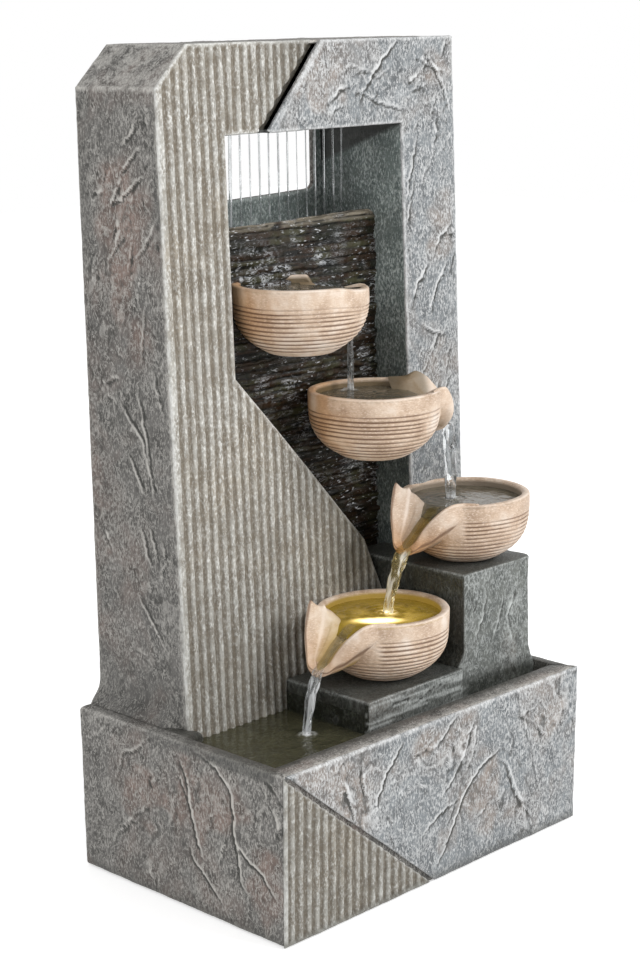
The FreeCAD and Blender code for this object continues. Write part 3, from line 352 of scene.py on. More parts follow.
# %% From grids to one mesh
def piece(name, material, grids, nodes=(), facing=None, wall=0.0, body="fountain"):
    """One mesh object from grids of points (mm) with their marks.

    Each cell becomes a face and points that meet become one. A sheet faces a given way and gets a wall
    behind it; a closed skin, with no facing given, has its faces turned outwards.
    """
    places, faces, start = [], [], 0
    names = sorted({key for _, marks in grids for key in marks})
    values = {key: [] for key in names}
    for points, marks in grids:
        rows, across = points.shape[:2]
        index = start + np.arange(rows * across).reshape(rows, across)
        start += rows * across
        places.append(points.reshape(-1, 3))
        faces.append(np.stack([index[:-1, :-1], index[:-1, 1:], index[1:, 1:], index[1:, :-1]],
                              axis=-1).reshape(-1, 4))
        for key in names:
            values[key].append(np.broadcast_to(marks.get(key, 0.0), (rows, across)).ravel())
    mesh = bpy.data.meshes.new(name)
    mesh.from_pydata((np.concatenate(places) * MM + CORNER).tolist(), [], np.concatenate(faces).tolist())
    for key in names:
        layer = mesh.attributes.new(key, "FLOAT", "POINT")
        layer.data.foreach_set("value", np.concatenate(values[key]).astype(np.float32))
    work = bmesh.new()
    work.from_mesh(mesh)
    bmesh.ops.remove_doubles(work, verts=work.verts, dist=2e-5)
    if facing is None:
        bmesh.ops.recalc_face_normals(work, faces=work.faces)
    else:
        work.normal_update()
        lean = sum((face.normal * face.calc_area() for face in work.faces), Vector())
        if lean.dot(Vector(facing)) < 0:
            bmesh.ops.reverse_faces(work, faces=work.faces)
    work.to_mesh(mesh)
    work.free()
    mesh.polygons.foreach_set("use_smooth", [True] * len(mesh.polygons))
    mesh.materials.append(material)
    item = bpy.data.objects.new(name, mesh)
    bpy.context.scene.collection.objects.link(item)
    if wall:
        shell = item.modifiers.new("wall", "SOLIDIFY")
        shell.thickness = wall * MM
        shell.offset = -1.0
    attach(item, body)
    if nodes:
        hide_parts(*nodes)
    print(name, len(mesh.vertices), "points", len(mesh.polygons), "faces")


# %% [markdown]
# ## The weathered skin
# The stone is cast from a hand-made pattern: broad swells, a pitted grain, and carved creases that have a
# pale lip on one side and a dark cut on the other. The swells push points inwards only, towards the middle
# of their casting, so the outside never grows, and two pieces that meet move alike and stay joined.

# %% Swells and creases
BASIN_MIDDLE = np.array([BASIN_WIDE / 2, BASIN_DEEP / 2, BASIN_HIGH / 2])
TOWER_MIDDLE = np.array([237.0, 235.0, 480.0])
CARVED = 1.2
CREASE_REACH = 12
SWELL_FADE = 25


def weather(points, middle=TOWER_MIDDLE, deep=1.5):
    """Moves points towards the middle along each axis by up to `deep`; also returns the relief, 0 to 1."""
    relief = 0.6 * rough(points, 34, 3, 1) + 0.4 * rough(points, 9, 3, 5)
    toward = np.clip((middle - points) / SWELL_FADE, -1, 1)
    return points + toward * (deep * (1 - relief))[..., None], relief


def limited(carve):
    """Carving held to the depth that one stroke may have."""
    return np.clip(carve, -CARVED, CARVED)


def creases(u, v, strokes, seed=0):
    """Carved strokes in a face's own plane, each a strength and its points (u, v, u, v and so on). d is
    the distance to the stroke and s its side: where s is positive a lip exp(-((d - 1.4) / 1.9)^2) stands
    up, and where it is negative a cut exp(-((d - 1) / 2)^2) goes in. Both fade towards the stroke's ends.
    Returns lip less cut."""
    chance = np.random.default_rng(seed)
    field = np.zeros(u.shape)
    for strength, *path in strokes:
        knots = np.reshape(path, (-1, 2)).astype(float)
        fine = np.linspace(0, len(knots) - 1, 7 * (len(knots) - 1) + 1)
        line = np.stack([np.interp(fine, np.arange(len(knots)), knots[:, i]) for i in (0, 1)], axis=-1)
        line[1:-1] += chance.normal(0, 0.9, line[1:-1].shape)
        low, high = line.min(axis=0) - CREASE_REACH, line.max(axis=0) + CREASE_REACH
        near = (u > low[0]) & (u < high[0]) & (v > low[1]) & (v < high[1])
        if not near.any():
            continue
        pu, pv = u[near], v[near]
        best, side, along = np.full(pu.shape, 1e6), np.zeros(pu.shape), np.zeros(pu.shape)
        for number, (a, b) in enumerate(zip(line[:-1], line[1:])):
            step = b - a
            share = np.clip(((pu - a[0]) * step[0] + (pv - a[1]) * step[1]) / (step @ step), 0, 1)
            far = np.hypot(pu - a[0] - share * step[0], pv - a[1] - share * step[1])
            closer = far < best
            best = np.where(closer, far, best)
            side = np.where(closer, step[0] * (pv - a[1]) - step[1] * (pu - a[0]), side)
            along = np.where(closer, (number + share) / (len(line) - 1), along)
        fade = np.sqrt(np.clip(np.sin(math.pi * along), 0, 1))
        lip = np.exp(-((best - 1.4) / 1.9) ** 2)
        cut = np.exp(-((best - 1.0) / 2.0) ** 2)
        field[near] += strength * fade * np.where(side > 0, lip, -cut)
    return limited(field)


def crumpled(points, seed, grain=22.0, shear=0.35):
    """Folds of crumpled clay: a lip and a cut side by side wherever a slanted noise n passes one half.

    With s = (n - 1/2) / 0.045, lip = exp(-2 (s - 0.7)^2) and cut = exp(-2 (s + 0.7)^2); a slower noise
    lets them come and go. Returns lip less cut, as `creases` does.
    """
    x, y, z = axes(points)
    slanted = at(x + shear * z, y + shear * z, 0.5 * z)
    field = (rough(slanted, grain, 3, seed) - 0.5) / 0.045
    patchy = smooth(noise(points * (1, 1, 0.7), 2.2 * grain, seed + 5), 0.3, 0.62)
    return patchy * (np.exp(-2 * (field - 0.7) ** 2) - np.exp(-2 * (field + 0.7) ** 2))


def scattered(count, low, high, length, lean, seed):
    """Short strokes strewn over a face: seeded starts, lengths about `length`, angles about `lean`."""
    chance = np.random.default_rng(seed)
    strokes = []
    for _ in range(count):
        start = chance.uniform(low, high)
        angle = math.radians(lean) + chance.normal(0, 0.5)
        reach = length * chance.uniform(0.5, 1.4) * np.array([math.cos(angle), math.sin(angle)])
        middle = start + reach / 2 + chance.normal(0, 2, 2)
        strokes.append((chance.uniform(0.25, 0.6), *start, *middle, *(start + reach)))
    return strokes


def ribs(points):
    """Upright ribs: 1 on a crest and 0 in a groove, from a cosine of X whose phase wanders with height."""
    wander = 1.4 * (noise(points * (1, 1, 0.35), 16, 3) - 0.5)
    wave = 0.5 + 0.5 * np.cos(2 * math.pi * (points[..., 0] + wander) / RIB_PITCH)
    chipped = 0.26 * (rough(points * (1, 1, 0.6), 5, 2, 14) - 0.5)
    return smooth(wave + chipped, 0.25, 0.8)


# %% [markdown]
# On a real casting the edges lose their paint first and show pale, and rust settles in patches. Both are
# marks too: one comes from the distance to an edge, the other from a few listed ellipses.

# %% Edges and stains
def brushed(points, distance, wide=5.0):
    """The pale rubbed edge: 1 at an edge, 0 from `wide` on, broken up by noise."""
    return smooth(distance, wide, 0.6) * (0.3 + 0.7 * smooth(noise(points, 7, 12), 0.2, 0.6))


def box_edge(points, low, high):
    """How far a point on a box is from the box's nearest edge: its second smallest distance to a side."""
    sides = np.minimum(points - np.array(low), np.array(high) - points)
    return np.sort(sides, axis=-1)[..., 1]


def stains(u, v, spots, grain=18, seed=0):
    """Warm stains: 1 inside ellipses (u, v, half width, half height), frayed by noise."""
    best = np.zeros(np.shape(u))
    frayed = noise(at(u, v, 0 * u), grain, 20 + seed) - 0.5
    for mid_u, mid_v, half_u, half_v in spots:
        away = np.hypot((u - mid_u) / half_u, (v - mid_v) / half_v)
        best = np.maximum(best, smooth(away + 0.9 * frayed, 1.15, 0.5))
    return best


# %% [markdown]
# ## The stone finishes
# The castings are painted cast stone: a slate grey ground with warm brown clouds, and a pale coat brushed
# on almost dry, which catches only the high grain, the lips of the creases and the crests of the ribs. The
# relief, crease and rib marks were stored on the mesh, so the paint follows the shape.

# %% Painted stone
def painted_stone(name, ground, warm, pale, dark, coated=0.5, clouds=0.5, wrinkled=0.6, ribbed=False,
                  wrinkle=8.0):
    """Matt painted stone: ground and warm clouds, a net of wrinkles, then the crease, edge and rib marks.

    A wrinkle runs where a smooth noise n passes one half, as the line 1 - |n - 1/2| / 0.028. The real ones
    are about 1 mm wide and 4 mm apart; `wrinkle` draws them a little coarser, so that they show from afar.
    """
    material, add, place = new_material(name)
    tint, relief, rib, crease, edge, wet = (add("Attribute", attribute_name=mark) for mark in
                                            ("tint", "relief", "rib", "crease", "edge", "wet"))
    cloud = add("TexNoise", Vector=place, Scale=per(95), Detail=3, Roughness=0.6, Distortion=0.4)
    rusty = add("Math", add("MapRange", cloud, 0.5, 0.68, 0, clouds), tint, operation="MAXIMUM")
    blotch = add("TexNoise", Vector=place, Scale=per(17), Detail=4)
    shade = add("MapRange", blotch, 0.35, 0.68, 0, 0.75)
    stretched = add("Mapping", Vector=place, Scale=(1, 1, 0.5), Rotation=(0.22, 0.22, 0))
    net = add("TexNoise", Vector=stretched, Scale=per(wrinkle), Detail=3, Roughness=0.6, Distortion=0.7)
    far = add("Math", add("Math", net, 0.5, operation="SUBTRACT"), operation="ABSOLUTE")
    line = add("MapRange", far, 0.028, 0)
    fleck = add("TexNoise", Vector=stretched, Scale=per(1.9), Detail=2, Roughness=0.6)
    high = add("Math", relief, 0.3, fleck, operation="MULTIPLY_ADD")
    caught = add("MapRange", high, 0.62, 0.84, 0, coated)
    drawn = add("Math", line, wrinkled, operation="MULTIPLY")
    patchy = add("Math", drawn, add("MapRange", blotch, 0.34, 0.52, 0.3), operation="MULTIPLY")
    coats = [(rusty, warm), (shade, dark), (add("Math", caught, patchy, operation="MAXIMUM"), pale)]
    if ribbed:
        groove = add("MapRange", rib, 0.85, 0.2, 0, 0.9)
        streak = add("MapRange", fleck, 0.35, 0.65, 1, 0.72)
        coats.append((add("Math", groove, streak, operation="MULTIPLY"), dark))
    lip = add("MapRange", crease, 0.2, 0.9, 0, 0.8)
    edged = add("Math", edge, add("MapRange", fleck, 0.3, 0.6, 0.35, 0.95), operation="MULTIPLY")
    coats.append((add("Math", lip, edged, operation="MAXIMUM"), pale))
    # Painted shade: the cut side of each crease, and the shadow under the lintel, are painted near black.
    coats.append((add("MapRange", crease, -0.15, -0.75, 0, 0.9), "33332f"))
    paint = ground
    for cover, tone in coats:
        paint = add("Mix", Factor=cover, A=paint, B=tone, data_type="RGBA")
    # The wet mark darkens the paint and makes it glossy: wet stone in most places, and painted shade in
    # others.
    soaked = add("Mix", Factor=wet, A=paint, B="4a4d40", data_type="RGBA", blend_type="MULTIPLY")
    pits = add("TexNoise", Vector=place, Scale=per(3.2), Detail=4, Roughness=0.7)
    raised = add("Math", line, 0.45, net, operation="MULTIPLY_ADD")
    height = add("Math", pits, 0.5, raised, operation="MULTIPLY_ADD")
    bump = add("Bump", Strength=0.7, Distance=0.0013, Height=height)
    sheen = add("MapRange", wet, 0, 1, 0.82, 0.25)
    add("OutputMaterial", Surface=add("BsdfPrincipled", Base_Color=soaked, Roughness=sheen, Normal=bump))
    return material


front_slate = painted_stone("slate_painted_front", "7d8285", "96877b", "dcdddd", "4f5254", 0.75, 0.7, 0.85)
side_slate = painted_stone("slate_painted_side", "6d6b68", "87736a", "d3d0ca", "343330", 0.55, 0.5, 0.72)
dark_slate = painted_stone("slate_damp_reveal", "6f7a77", "6e6d66", "ccd4d1", "4c5654", 0.9, 0.3, 0.45)
step_slate = painted_stone("slate_painted_step", "686b67", "837870", "c6cac8", "3f4341", 0.55, 0.5, 0.6)
ribbed_stone = painted_stone("ribbed_stone_painted", "b7b5ae", "b0a38f", "e6e6e2", "73695a", 0.85, 0.5,
                             0.3, ribbed=True, wrinkle=5.0)


# %% [markdown]
# ## The tub
# The real tub is one casting: a thick front rim, a ribbed triangle in its front that ends at a slanting
# seam, and a shallow pool. Its sides, rims, inside and underside are one closed skin here: a ring of points
# follows the outline, and a profile carries that ring from the middle of the underside up the outer wall,
# over the rim, down the inner wall and to the middle of the pool's floor. Rings near the middles shrink to
# a line, which closes both ends. The front is a separate facing, so that its seam can be a true cut.

# %% The tub's skin
FLOOR = 9.0
BESIDE = 12
PLUG_LOW, PLUG_HIGH = span("drain_plug")
PLUG_X, PLUG_Z = (PLUG_LOW[[0, 2]] + PLUG_HIGH[[0, 2]]) / 2


def tub_rings():
    """The outer ring of the tub, clockwise from the front left, and the pool's ring beside it."""
    w, d = BASIN_WIDE, BASIN_DEEP
    outer = walk([(0, EDGE)] + arc_points(EDGE, d - EDGE, EDGE, 180, 90)
                 + arc_points(w - EDGE, d - EDGE, EDGE, 90, 0) + [(w, EDGE)], 2.0)
    x, y = outer.T
    left = RIM_LEFT + (SHOULDER - RIM_LEFT) * smooth(y, SHOULDER_FROM - 6, SHOULDER_FROM + 6)
    inner = [np.clip(x, left, w - RIM_SIDE), np.clip(y, RIM_FRONT, d - RIM_SIDE)]
    return outer, np.stack(inner, axis=-1)


def tub_points():
    """The tub's closed skin, ring by ring, before it is weathered."""
    outer, pool = tub_rings()
    middle = BASIN_MIDDLE[:2]
    half = BASIN_DEEP / 2 - EDGE
    front = smooth(outer[:, 1], EDGE + 3, EDGE)

    def inset(by):
        """The outer ring drawn towards the middle by a distance, which at `half` leaves a line."""
        return middle + (outer - middle) * (1 - np.expand_dims(np.minimum(by / half, 1), -1))

    rows = [(inset(share * half), 0.0) for share in np.linspace(1, 0.04, 12)]
    heights = spread(0, BASIN_HIGH, 1.9)
    for z, drop, rise in zip(heights, fallen(heights), fallen(BASIN_HIGH - heights)):
        rows.append((inset(drop + rise * (1 - front)), z))
    crown = inset(EDGE * (1 - front))
    for share in np.sin(np.linspace(0, math.pi / 2, 20)[1:]):
        sink = RIM_FALL * (1 - math.sqrt(1 - share ** 4))
        rows.append((crown + share * (pool - crown), BASIN_HIGH - sink))
    rows += [(pool, z) for z in spread(FLOOR, BASIN_HIGH - RIM_FALL, 9.0)[::-1]]
    rows += [(pool + share * (middle - pool), FLOOR) for share in np.linspace(0, 1, 14)[1:]]
    points = stacked(rows)
    lean = UNDERCUT * (1 - points[..., 2] / BASIN_HIGH) + 1.0
    at_front = smooth(points[..., 1], 3 * EDGE, EDGE) * smooth(points[..., 2], BASIN_HIGH, BASIN_HIGH - 6)
    points[..., 1] += lean * at_front
    return points


def make_tub():
    points, relief = weather(tub_points(), BASIN_MIDDLE)
    x, y, z = axes(points)
    strokes = [
        (1.0, 56, 38, 66, 52, 70, 76, 75, 100, 76, 138, 98, 160, 140, 172),
        (1.1, 118, 55, 129, 80, 137, 110, 140, 134, 150, 156), (0.7, 137, 116, 146, 126, 153, 141),
        (0.8, 88, 15, 110, 35, 134, 55, 142, 70), (0.9, 15, 44, 35, 66, 64, 82, 73, 86),
        (0.5, 5, 143, 20, 160, 40, 171), (0.6, 12, 98, 15, 128, 38, 160),
        (0.45, 180, 100, 205, 90, 234, 66, 253, 45, 258, 24), (0.7, 213, 76, 230, 66, 245, 50),
        (0.7, 190, 170, 214, 150, 236, 140, 250, 102), (0.5, 255, 171, 275, 150, 298, 140),
        (0.6, 84, 96, 90, 78, 96, 58), (0.4, 195, 14, 202, 22, 210, 18), (0.4, 190, 110, 196, 122, 186, 128),
    ]
    on_left = smooth(x, BESIDE, 4)
    carve = creases(y, z, strokes, 11) * on_left
    carve_right = creases(y, z, scattered(26, (10, 15), (295, 165), 46, 55, 12), 13)
    carve = np.where(x > RIGHT - BESIDE, carve_right * smooth(x, RIGHT - BESIDE, RIGHT - 4), carve)
    carve_back = creases(x, z, scattered(20, (10, 15), (436, 165), 46, 55, 14), 15)
    carve = np.where(y > BASIN_DEEP - 8, carve_back * smooth(y, BASIN_DEEP - 8, BASIN_DEEP - 4), carve)
    on_walls = smooth(z, BASIN_HIGH, BASIN_HIGH - 8) * (np.minimum(x, RIGHT - x) < BESIDE)
    carve = limited(1.2 * carve + 0.5 * crumpled(points, 70) * on_walls)
    outside = (x < BESIDE) | (x > RIGHT - BESIDE)
    points[..., 0] += np.where(outside, np.sign(BASIN_MIDDLE[0] - x) * (0.5 - 0.5 * carve), 0)
    seat = smooth(np.hypot(x - PLUG_X, z - PLUG_Z), 16.5, 13.5)
    dent = (y > BASIN_DEEP - 8) * seat * (BASIN_DEEP - PLUG_LOW[1] - 2)
    points[..., 1] -= np.clip(dent, 0, RIM_SIDE - 4)
    inside = (x > 15) & (x < RIGHT - BESIDE) & (y > RIM_FRONT - 4) & (y < BASIN_DEEP - 10)
    splashed = smooth(y + 9 * rough(points, 14, 3, 9), 17, 30) * smooth(y, BASIN_DEEP, 60)
    sloping = smooth(z, BASIN_HIGH - RIM_FALL - 1, BASIN_HIGH - RIM_FALL + 2)
    wet = np.maximum(np.where(inside, 0.8, 0.62 * sloping * splashed), 0.55 * smooth(z, 16, 2))
    chalky = smooth(z, BASIN_HIGH - 6, BASIN_HIGH - 1) * smooth(y, 15, 2)
    chalky = chalky * smooth(rough(points, 9, 3, 19), 0.3, 0.56)
    edge = brushed(points, box_edge(points, (0, 0, 0), (BASIN_WIDE, BASIN_DEEP, BASIN_HIGH)))
    rust = stains(y, z, [(120, 120, 60, 42), (30, 60, 26, 40), (210, 110, 30, 40)])
    marks = dict(relief=relief, crease=carve, wet=wet, edge=np.maximum(edge, 0.75 * chalky),
                 tint=0.75 * rust * on_left)
    piece("basin_skin", side_slate, [(points, marks)], ["basin"])


make_tub()

# %% [markdown]
# The tub's front is two facings with a slanting seam between them. Both are strips between a lower and an
# upper line, so the seam is a row of points and stays crisp. Their outer edges are rounded by the distance
# to the border, and end where the tub's skin begins.

# %% The tub's front
SEAM_RISE = BASIN_HIGH / SEAM_FOOT
SEAM_LEAN = math.hypot(1, SEAM_RISE)
SEAM = (SEAM_FOOT, 0, 0, BASIN_HIGH)
BORDERS = [(0, 0, RIGHT, 0), (0, BASIN_HIGH, RIGHT, BASIN_HIGH), (0, 0, 0, BASIN_HIGH),
           (RIGHT, 0, RIGHT, BASIN_HIGH)]
TO_FRONT, TO_BACK, UPWARDS = (0, -1, 0), (0, 1, 0), (0, 0, 1)


def seam_line(x, shift):
    """The seam's height above the foot at x, shifted sideways by a distance square to it."""
    return BASIN_HIGH - SEAM_RISE * x + shift * SEAM_LEAN


def tub_facing(x, z, strokes, seam_shift):
    """Places a facing's points: the outer edges and the seam's edge are rounded, then weathered."""
    border = from_lines(x, z, BORDERS)
    edge = fallen(border)
    lip = fallen(np.abs(seam_line(x, seam_shift) - z) / SEAM_LEAN, 1.6)
    lean = UNDERCUT * (1 - z / BASIN_HIGH)
    points, relief = weather(at(x, np.maximum(edge, lip) + lean, z), BASIN_MIDDLE)
    carve = creases(x, z, strokes, 21)
    if strokes:
        carve = limited(carve + 0.6 * crumpled(points, 72))
    carve = carve * smooth(border, 0, 5)
    points[..., 1] += (0.6 - 0.6 * carve) * smooth(edge, EDGE, 0)
    return points, relief, carve


def make_tub_front():
    across = columns([0, SEAM_FOOT], 1.4)
    x, z = strip(across, 0.3, np.clip(seam_line(across, -SEAM_HALF), 0.3, BASIN_HIGH), 2.2)
    points, relief, carve = tub_facing(x, z, [], -SEAM_HALF)
    crest = ribs(points)
    depth = smooth(from_lines(x, z, BORDERS), 0.5, 7)
    points[..., 1] += RIB_DEEP * (1 - crest) * depth * smooth(x, 2, 6)
    edge = brushed(points, from_lines(x, z, BORDERS[1:3] + [SEAM]))
    marks = dict(relief=relief, crease=carve, rib=1 - (1 - crest) * depth, edge=edge,
                 wet=np.maximum(0.25, 0.6 * smooth(z, 15, 2)))
    piece("basin_ribs", ribbed_stone, [(points, marks)], facing=TO_FRONT, wall=2.5)

    strokes = [
        (1.2, 212, 11, 226, 26, 239, 45, 255, 76, 279, 103, 300, 112, 323, 118),
        (0.9, 186, 51, 214, 68, 232, 75, 252, 80), (1.2, 125, 100, 128, 118, 140, 141, 153, 154, 164, 167),
        (0.9, 78, 149, 84, 132, 96, 101), (0.8, 103, 162, 106, 142, 108, 125),
        (1.0, 215, 83, 240, 104, 258, 125, 268, 150, 277, 167), (0.8, 271, 120, 275, 142, 277, 164),
        (0.9, 209, 145, 222, 152, 235, 165, 250, 173), (1.0, 309, 110, 328, 92, 343, 56, 358, 36, 378, 18),
        (0.7, 326, 95, 336, 70, 352, 48, 376, 36), (0.5, 346, 152, 368, 102, 376, 70, 384, 44),
        (0.5, 334, 150, 364, 135, 398, 102, 424, 70), (0.6, 374, 160, 384, 146, 402, 130),
        (0.6, 143, 77, 150, 62, 156, 50), (0.5, 174, 144, 195, 148, 214, 160),
        (0.6, 225, 44, 236, 60, 246, 78), (0.5, 60, 155, 72, 165, 84, 172),
        (0.5, 140, 98, 146, 88, 152, 72), (0.4, 295, 133, 303, 140, 312, 146),
    ] + scattered(16, (180, 20), (436, 160), 26, 70, 22)
    across = columns([0, SEAM_FOOT, RIGHT], 1.7)
    x, z = strip(across, np.clip(seam_line(across, SEAM_HALF), 0.3, BASIN_HIGH), BASIN_HIGH, 1.9)
    points, relief, carve = tub_facing(x, z, strokes, SEAM_HALF)
    edge = brushed(points, from_lines(x, z, BORDERS[1:] + [SEAM]))
    rust = stains(x, z, [(60, 150, 50, 30), (290, 75, 34, 42), (200, 150, 26, 22), (400, 130, 34, 28)])
    marks = dict(relief=relief, crease=carve, wet=0.6 * smooth(z, 15, 2), edge=edge, tint=0.7 * rust)
    piece("basin_front", front_slate, [(points, marks)], facing=TO_FRONT, wall=2.5)


make_tub_front()

# %% [markdown]
# ## The tower
# A hollow casting with a window right through it. Its outside is one band that follows the tower's outline
# seen from the front, with the cut-off corner, and runs back to the rear edge. The ribbed facing and the
# slate facing cover the front; a second band lines the window and the slope under it.

# %% The tower's outline
def tower_outline(cell):
    """From the left foot up, over the slanted corner and the top, down to the right foot."""
    corners = [(TOWER_LEFT, BASIN_HIGH - 8), (TOWER_LEFT, SLANT_Z), (SLANT_X, TOWER_TOP)]
    corners += arc_points(RIGHT - EDGE, TOWER_TOP - EDGE, EDGE, 90, 0)
    return walk(corners + [(RIGHT, BASIN_HIGH)], cell, closed=False)


def inward(line):
    """Unit vectors to the right of a line's own direction, smoothed over its corners."""
    step = np.gradient(line, axis=0)
    normal = np.column_stack([step[:, 1], -step[:, 0]])
    return normal / np.linalg.norm(normal, axis=1, keepdims=True)


def foot_flare(z):
    """How far the left side leans out at the tower's foot, where it is bedded on the basin."""
    return 14.0 * smooth(z, BASIN_HIGH + 26, BASIN_HIGH - 4) ** 2


def make_tower_sides():
    line = tower_outline(1.8)
    into = inward(line)
    proud = np.where(line[:, 0] > SEAM_TOP_X, SLATE_PROUD, 0)
    start = (front_at(line[:, 1]) + EDGE - proud)[:, None]
    rear = BASIN_DEEP - EDGE
    share = np.linspace(0, 1, 72)
    turn = np.linspace(0, math.pi / 2, 5)[1:]
    round_rear = np.broadcast_to(rear + EDGE * np.sin(turn), (len(line), len(turn)))
    y = np.column_stack([start + share * (rear - start), round_rear])
    back_in = np.concatenate([np.zeros(len(share)), EDGE * (1 - np.cos(turn))])
    flare = -foot_flare(line[:, 1]) * (line[:, 0] < 60)
    shift = back_in + flare[:, None] * smooth(y - start, 0, 24)
    x = line[:, None, 0] + into[:, None, 0] * shift
    z = line[:, None, 1] + into[:, None, 1] * shift
    points, relief = weather(at(x, y, z))
    strokes = [
        (0.6, 203, 540, 194, 505, 185, 480), (1.0, 226, 518, 216, 470, 210, 430, 204, 400),
        (1.0, 253, 496, 236, 476, 220, 460, 212, 432), (0.9, 242, 446, 230, 425, 220, 405),
        (0.8, 214, 376, 208, 358, 204, 340), (0.8, 228, 376, 220, 350, 211, 330),
        (0.7, 197, 366, 191, 345, 200, 318), (0.7, 240, 306, 219, 280, 193, 250),
        (1.1, 204, 718, 224, 706, 239, 694, 256, 689), (0.8, 209, 770, 222, 756, 236, 742),
        (0.8, 206, 745, 226, 730, 240, 716), (0.8, 236, 715, 246, 700, 256, 684),
        (0.7, 190, 676, 204, 652, 221, 636), (0.6, 232, 662, 246, 650, 256, 641),
        (0.6, 224, 655, 229, 640, 231, 622), (0.6, 203, 612, 214, 565, 218, 532),
        (0.6, 250, 520, 266, 514, 283, 509), (0.6, 264, 700, 274, 698, 286, 697),
        (0.4, 216, 226, 230, 236, 246, 246),
    ]
    strokes += scattered(46, (182, 560), (292, 780), 16, 100, 31)
    strokes += scattered(16, (182, 240), (292, 540), 24, 60, 32)
    x, y, z = axes(points)
    behind, before = y - start, BASIN_DEEP - y
    left = smooth(x, TOWER_LEFT + 9, TOWER_LEFT + 4) * smooth(z, BASIN_HIGH + 4, BASIN_HIGH + 25)
    carve_left = creases(y, z, strokes, 33) * left
    carve_right = creases(y, z, scattered(60, (180, 200), (296, 820), 36, 75, 34), 35)
    carve_right = carve_right * smooth(x, RIGHT - 9, RIGHT - 4)
    carve_top = creases(x, y, scattered(24, (80, 190), (430, 296), 34, 20, 36), 37)
    carve_top = carve_top * smooth(z, TOWER_TOP - 6, TOWER_TOP - 2)
    carve = limited(1.2 * carve_left + carve_right + carve_top + 0.5 * crumpled(points, 74, 18.0))
    carve = carve * smooth(behind, 0, 6) * smooth(before, 0, 6)
    points[..., 0] += into[:, None, 0] * (0.5 - 0.5 * carve)
    points[..., 2] += into[:, None, 1] * (0.5 - 0.5 * carve)
    # On the left side only, painted shade: darker near the front and rear edges up high, and towards the
    # bottom.
    shaded = np.maximum(smooth(behind, 15, 4), smooth(before, 34, 8))
    shaded = shaded * smooth(z, 560, 680) * smooth(SLANT_Z - z, 0, 14)
    wet = (0.2 * smooth(z, 260, 190) + 0.1 * smooth(z, 600, 420) + 0.3 * shaded) * smooth(x, 60, 40)
    folds = [np.hypot(x - fold_x, z - fold_z) for fold_x, fold_z in
             ((TOWER_LEFT, SLANT_Z), (SLANT_X, TOWER_TOP), (RIGHT, TOWER_TOP))]
    rims = np.min([behind, before, *folds], axis=0)
    rust = 0.85 * stains(y, z, [(236, 690, 42, 62), (244, 610, 26, 60), (222, 560, 22, 40)], 26, 1)
    rust = np.maximum(rust, 0.4 * stains(y, z, [(240, 330, 30, 60)], 26, 2)) * left
    slanting = smooth(z, SLANT_Z - 2, SLANT_Z + 4) * (x < SLANT_X + 4)
    chalky = 0.6 * slanting * smooth(rough(points, 8, 3, 19), 0.36, 0.6)
    edge = np.maximum(brushed(points, rims, 6.0), chalky)
    marks = dict(relief=relief, crease=carve, wet=wet, edge=edge, tint=rust)
    piece("tower_sides", side_slate, [(points, marks)], ["tower_shell"], facing=(-0.5, 0, 1), wall=3.0)


make_tower_sides()

# %% [markdown]
# The left part of the front is cast with upright ribs, like bark. They could be carved one by one, but ribs
# that wander alike are simpler as one function of place: a cosine across the front whose phase drifts.

# %% The ribbed facing
SEAM_STEEP = (TOWER_TOP - WINDOW[2]) / (SEAM_TOP_X - SEAM_LOW_X)


def slope(x):
    """The slope under the window: straight from the window's left side down to the step, in two runs."""
    return np.interp(x, SLOPE_X, SLOPE_Z)


def outline_top(x):
    """The tower's top edge, lower over the slanted corner."""
    return np.interp(x, [TOWER_LEFT, SLANT_X], [SLANT_Z, TOWER_TOP])


def tower_seam(x, shift):
    """The upper seam: from the window's top edge up to the tower's top, shifted square to itself."""
    return WINDOW[2] + SEAM_STEEP * (x - SEAM_LOW_X) - shift * math.hypot(1, SEAM_STEEP)


def make_ribbed_facing():
    left, opening, top = TOWER_LEFT, WINDOW[0], WINDOW[2]
    foot = 120.0
    low_seam = SEAM_LOW_X - SEAM_HALF
    across = columns([left, SLANT_X, opening, low_seam, SEAM_TOP_X, *SLOPE_X[1:]], 1.5)
    over = across[across <= SEAM_TOP_X]
    zones = [
        strip(across, foot, slope(across), 2.6),
        strip(across[across <= opening], SLOPE_Z[0], top, 2.6),
        strip(over, np.clip(tower_seam(over, -1.0), top, TOWER_TOP), outline_top(over), 2.0),
    ]
    ends = [[(left, foot - 20), (left, SLANT_Z), (SLANT_X, TOWER_TOP), (SEAM_TOP_X + 9, TOWER_TOP)],
            [(low_seam - 8, top), (opening, top), *zip(SLOPE_X, SLOPE_Z), (SLOPE_X[2], foot)]]
    borders = [(*a, *b) for corners in ends for a, b in zip(corners[:-1], corners[1:])]
    grids = []
    for x, z in zones:
        away = from_lines(x, z, borders)
        points, relief = weather(at(x, front_at(z) + fallen(away), z), deep=1.2)
        depth = smooth(away, 0.5, 6)
        beside_seam = (z - tower_seam(x, 0)) / math.hypot(1, SEAM_STEEP)
        cleft = smooth(beside_seam, 9.0, 6.0) * (z > top - 1)
        crest = np.maximum(ribs(points), smooth(x, left + 7.5, left + 5)) * (1 - cleft)
        points[..., 1] += RIB_DEEP * (1 - crest) * depth + 3.5 * cleft
        damp = smooth(slope(x) - z, 210, 20) * smooth(x, 120, 300) + smooth(z, 260, 170) * smooth(x, 90, 190)
        damp = np.clip(damp, 0, 1) * (0.35 + 0.4 * noise(points, 30, 2))
        # Along the upper seam the cleft is painted dark as shade; elsewhere the mark is damp, and darker
        # towards the bottom.
        damp = np.max([damp, 0.2 * smooth(z, 460, 240), 0.75 * cleft], axis=0)
        edge = brushed(points, away, 2.6) * (1 - cleft)
        grids.append((points, dict(relief=relief, rib=1 - (1 - crest) * depth, wet=damp, edge=edge)))
    piece("tower_ribs", ribbed_stone, grids, ["ribbed_facing"], TO_FRONT, 2.5)


make_ribbed_facing()
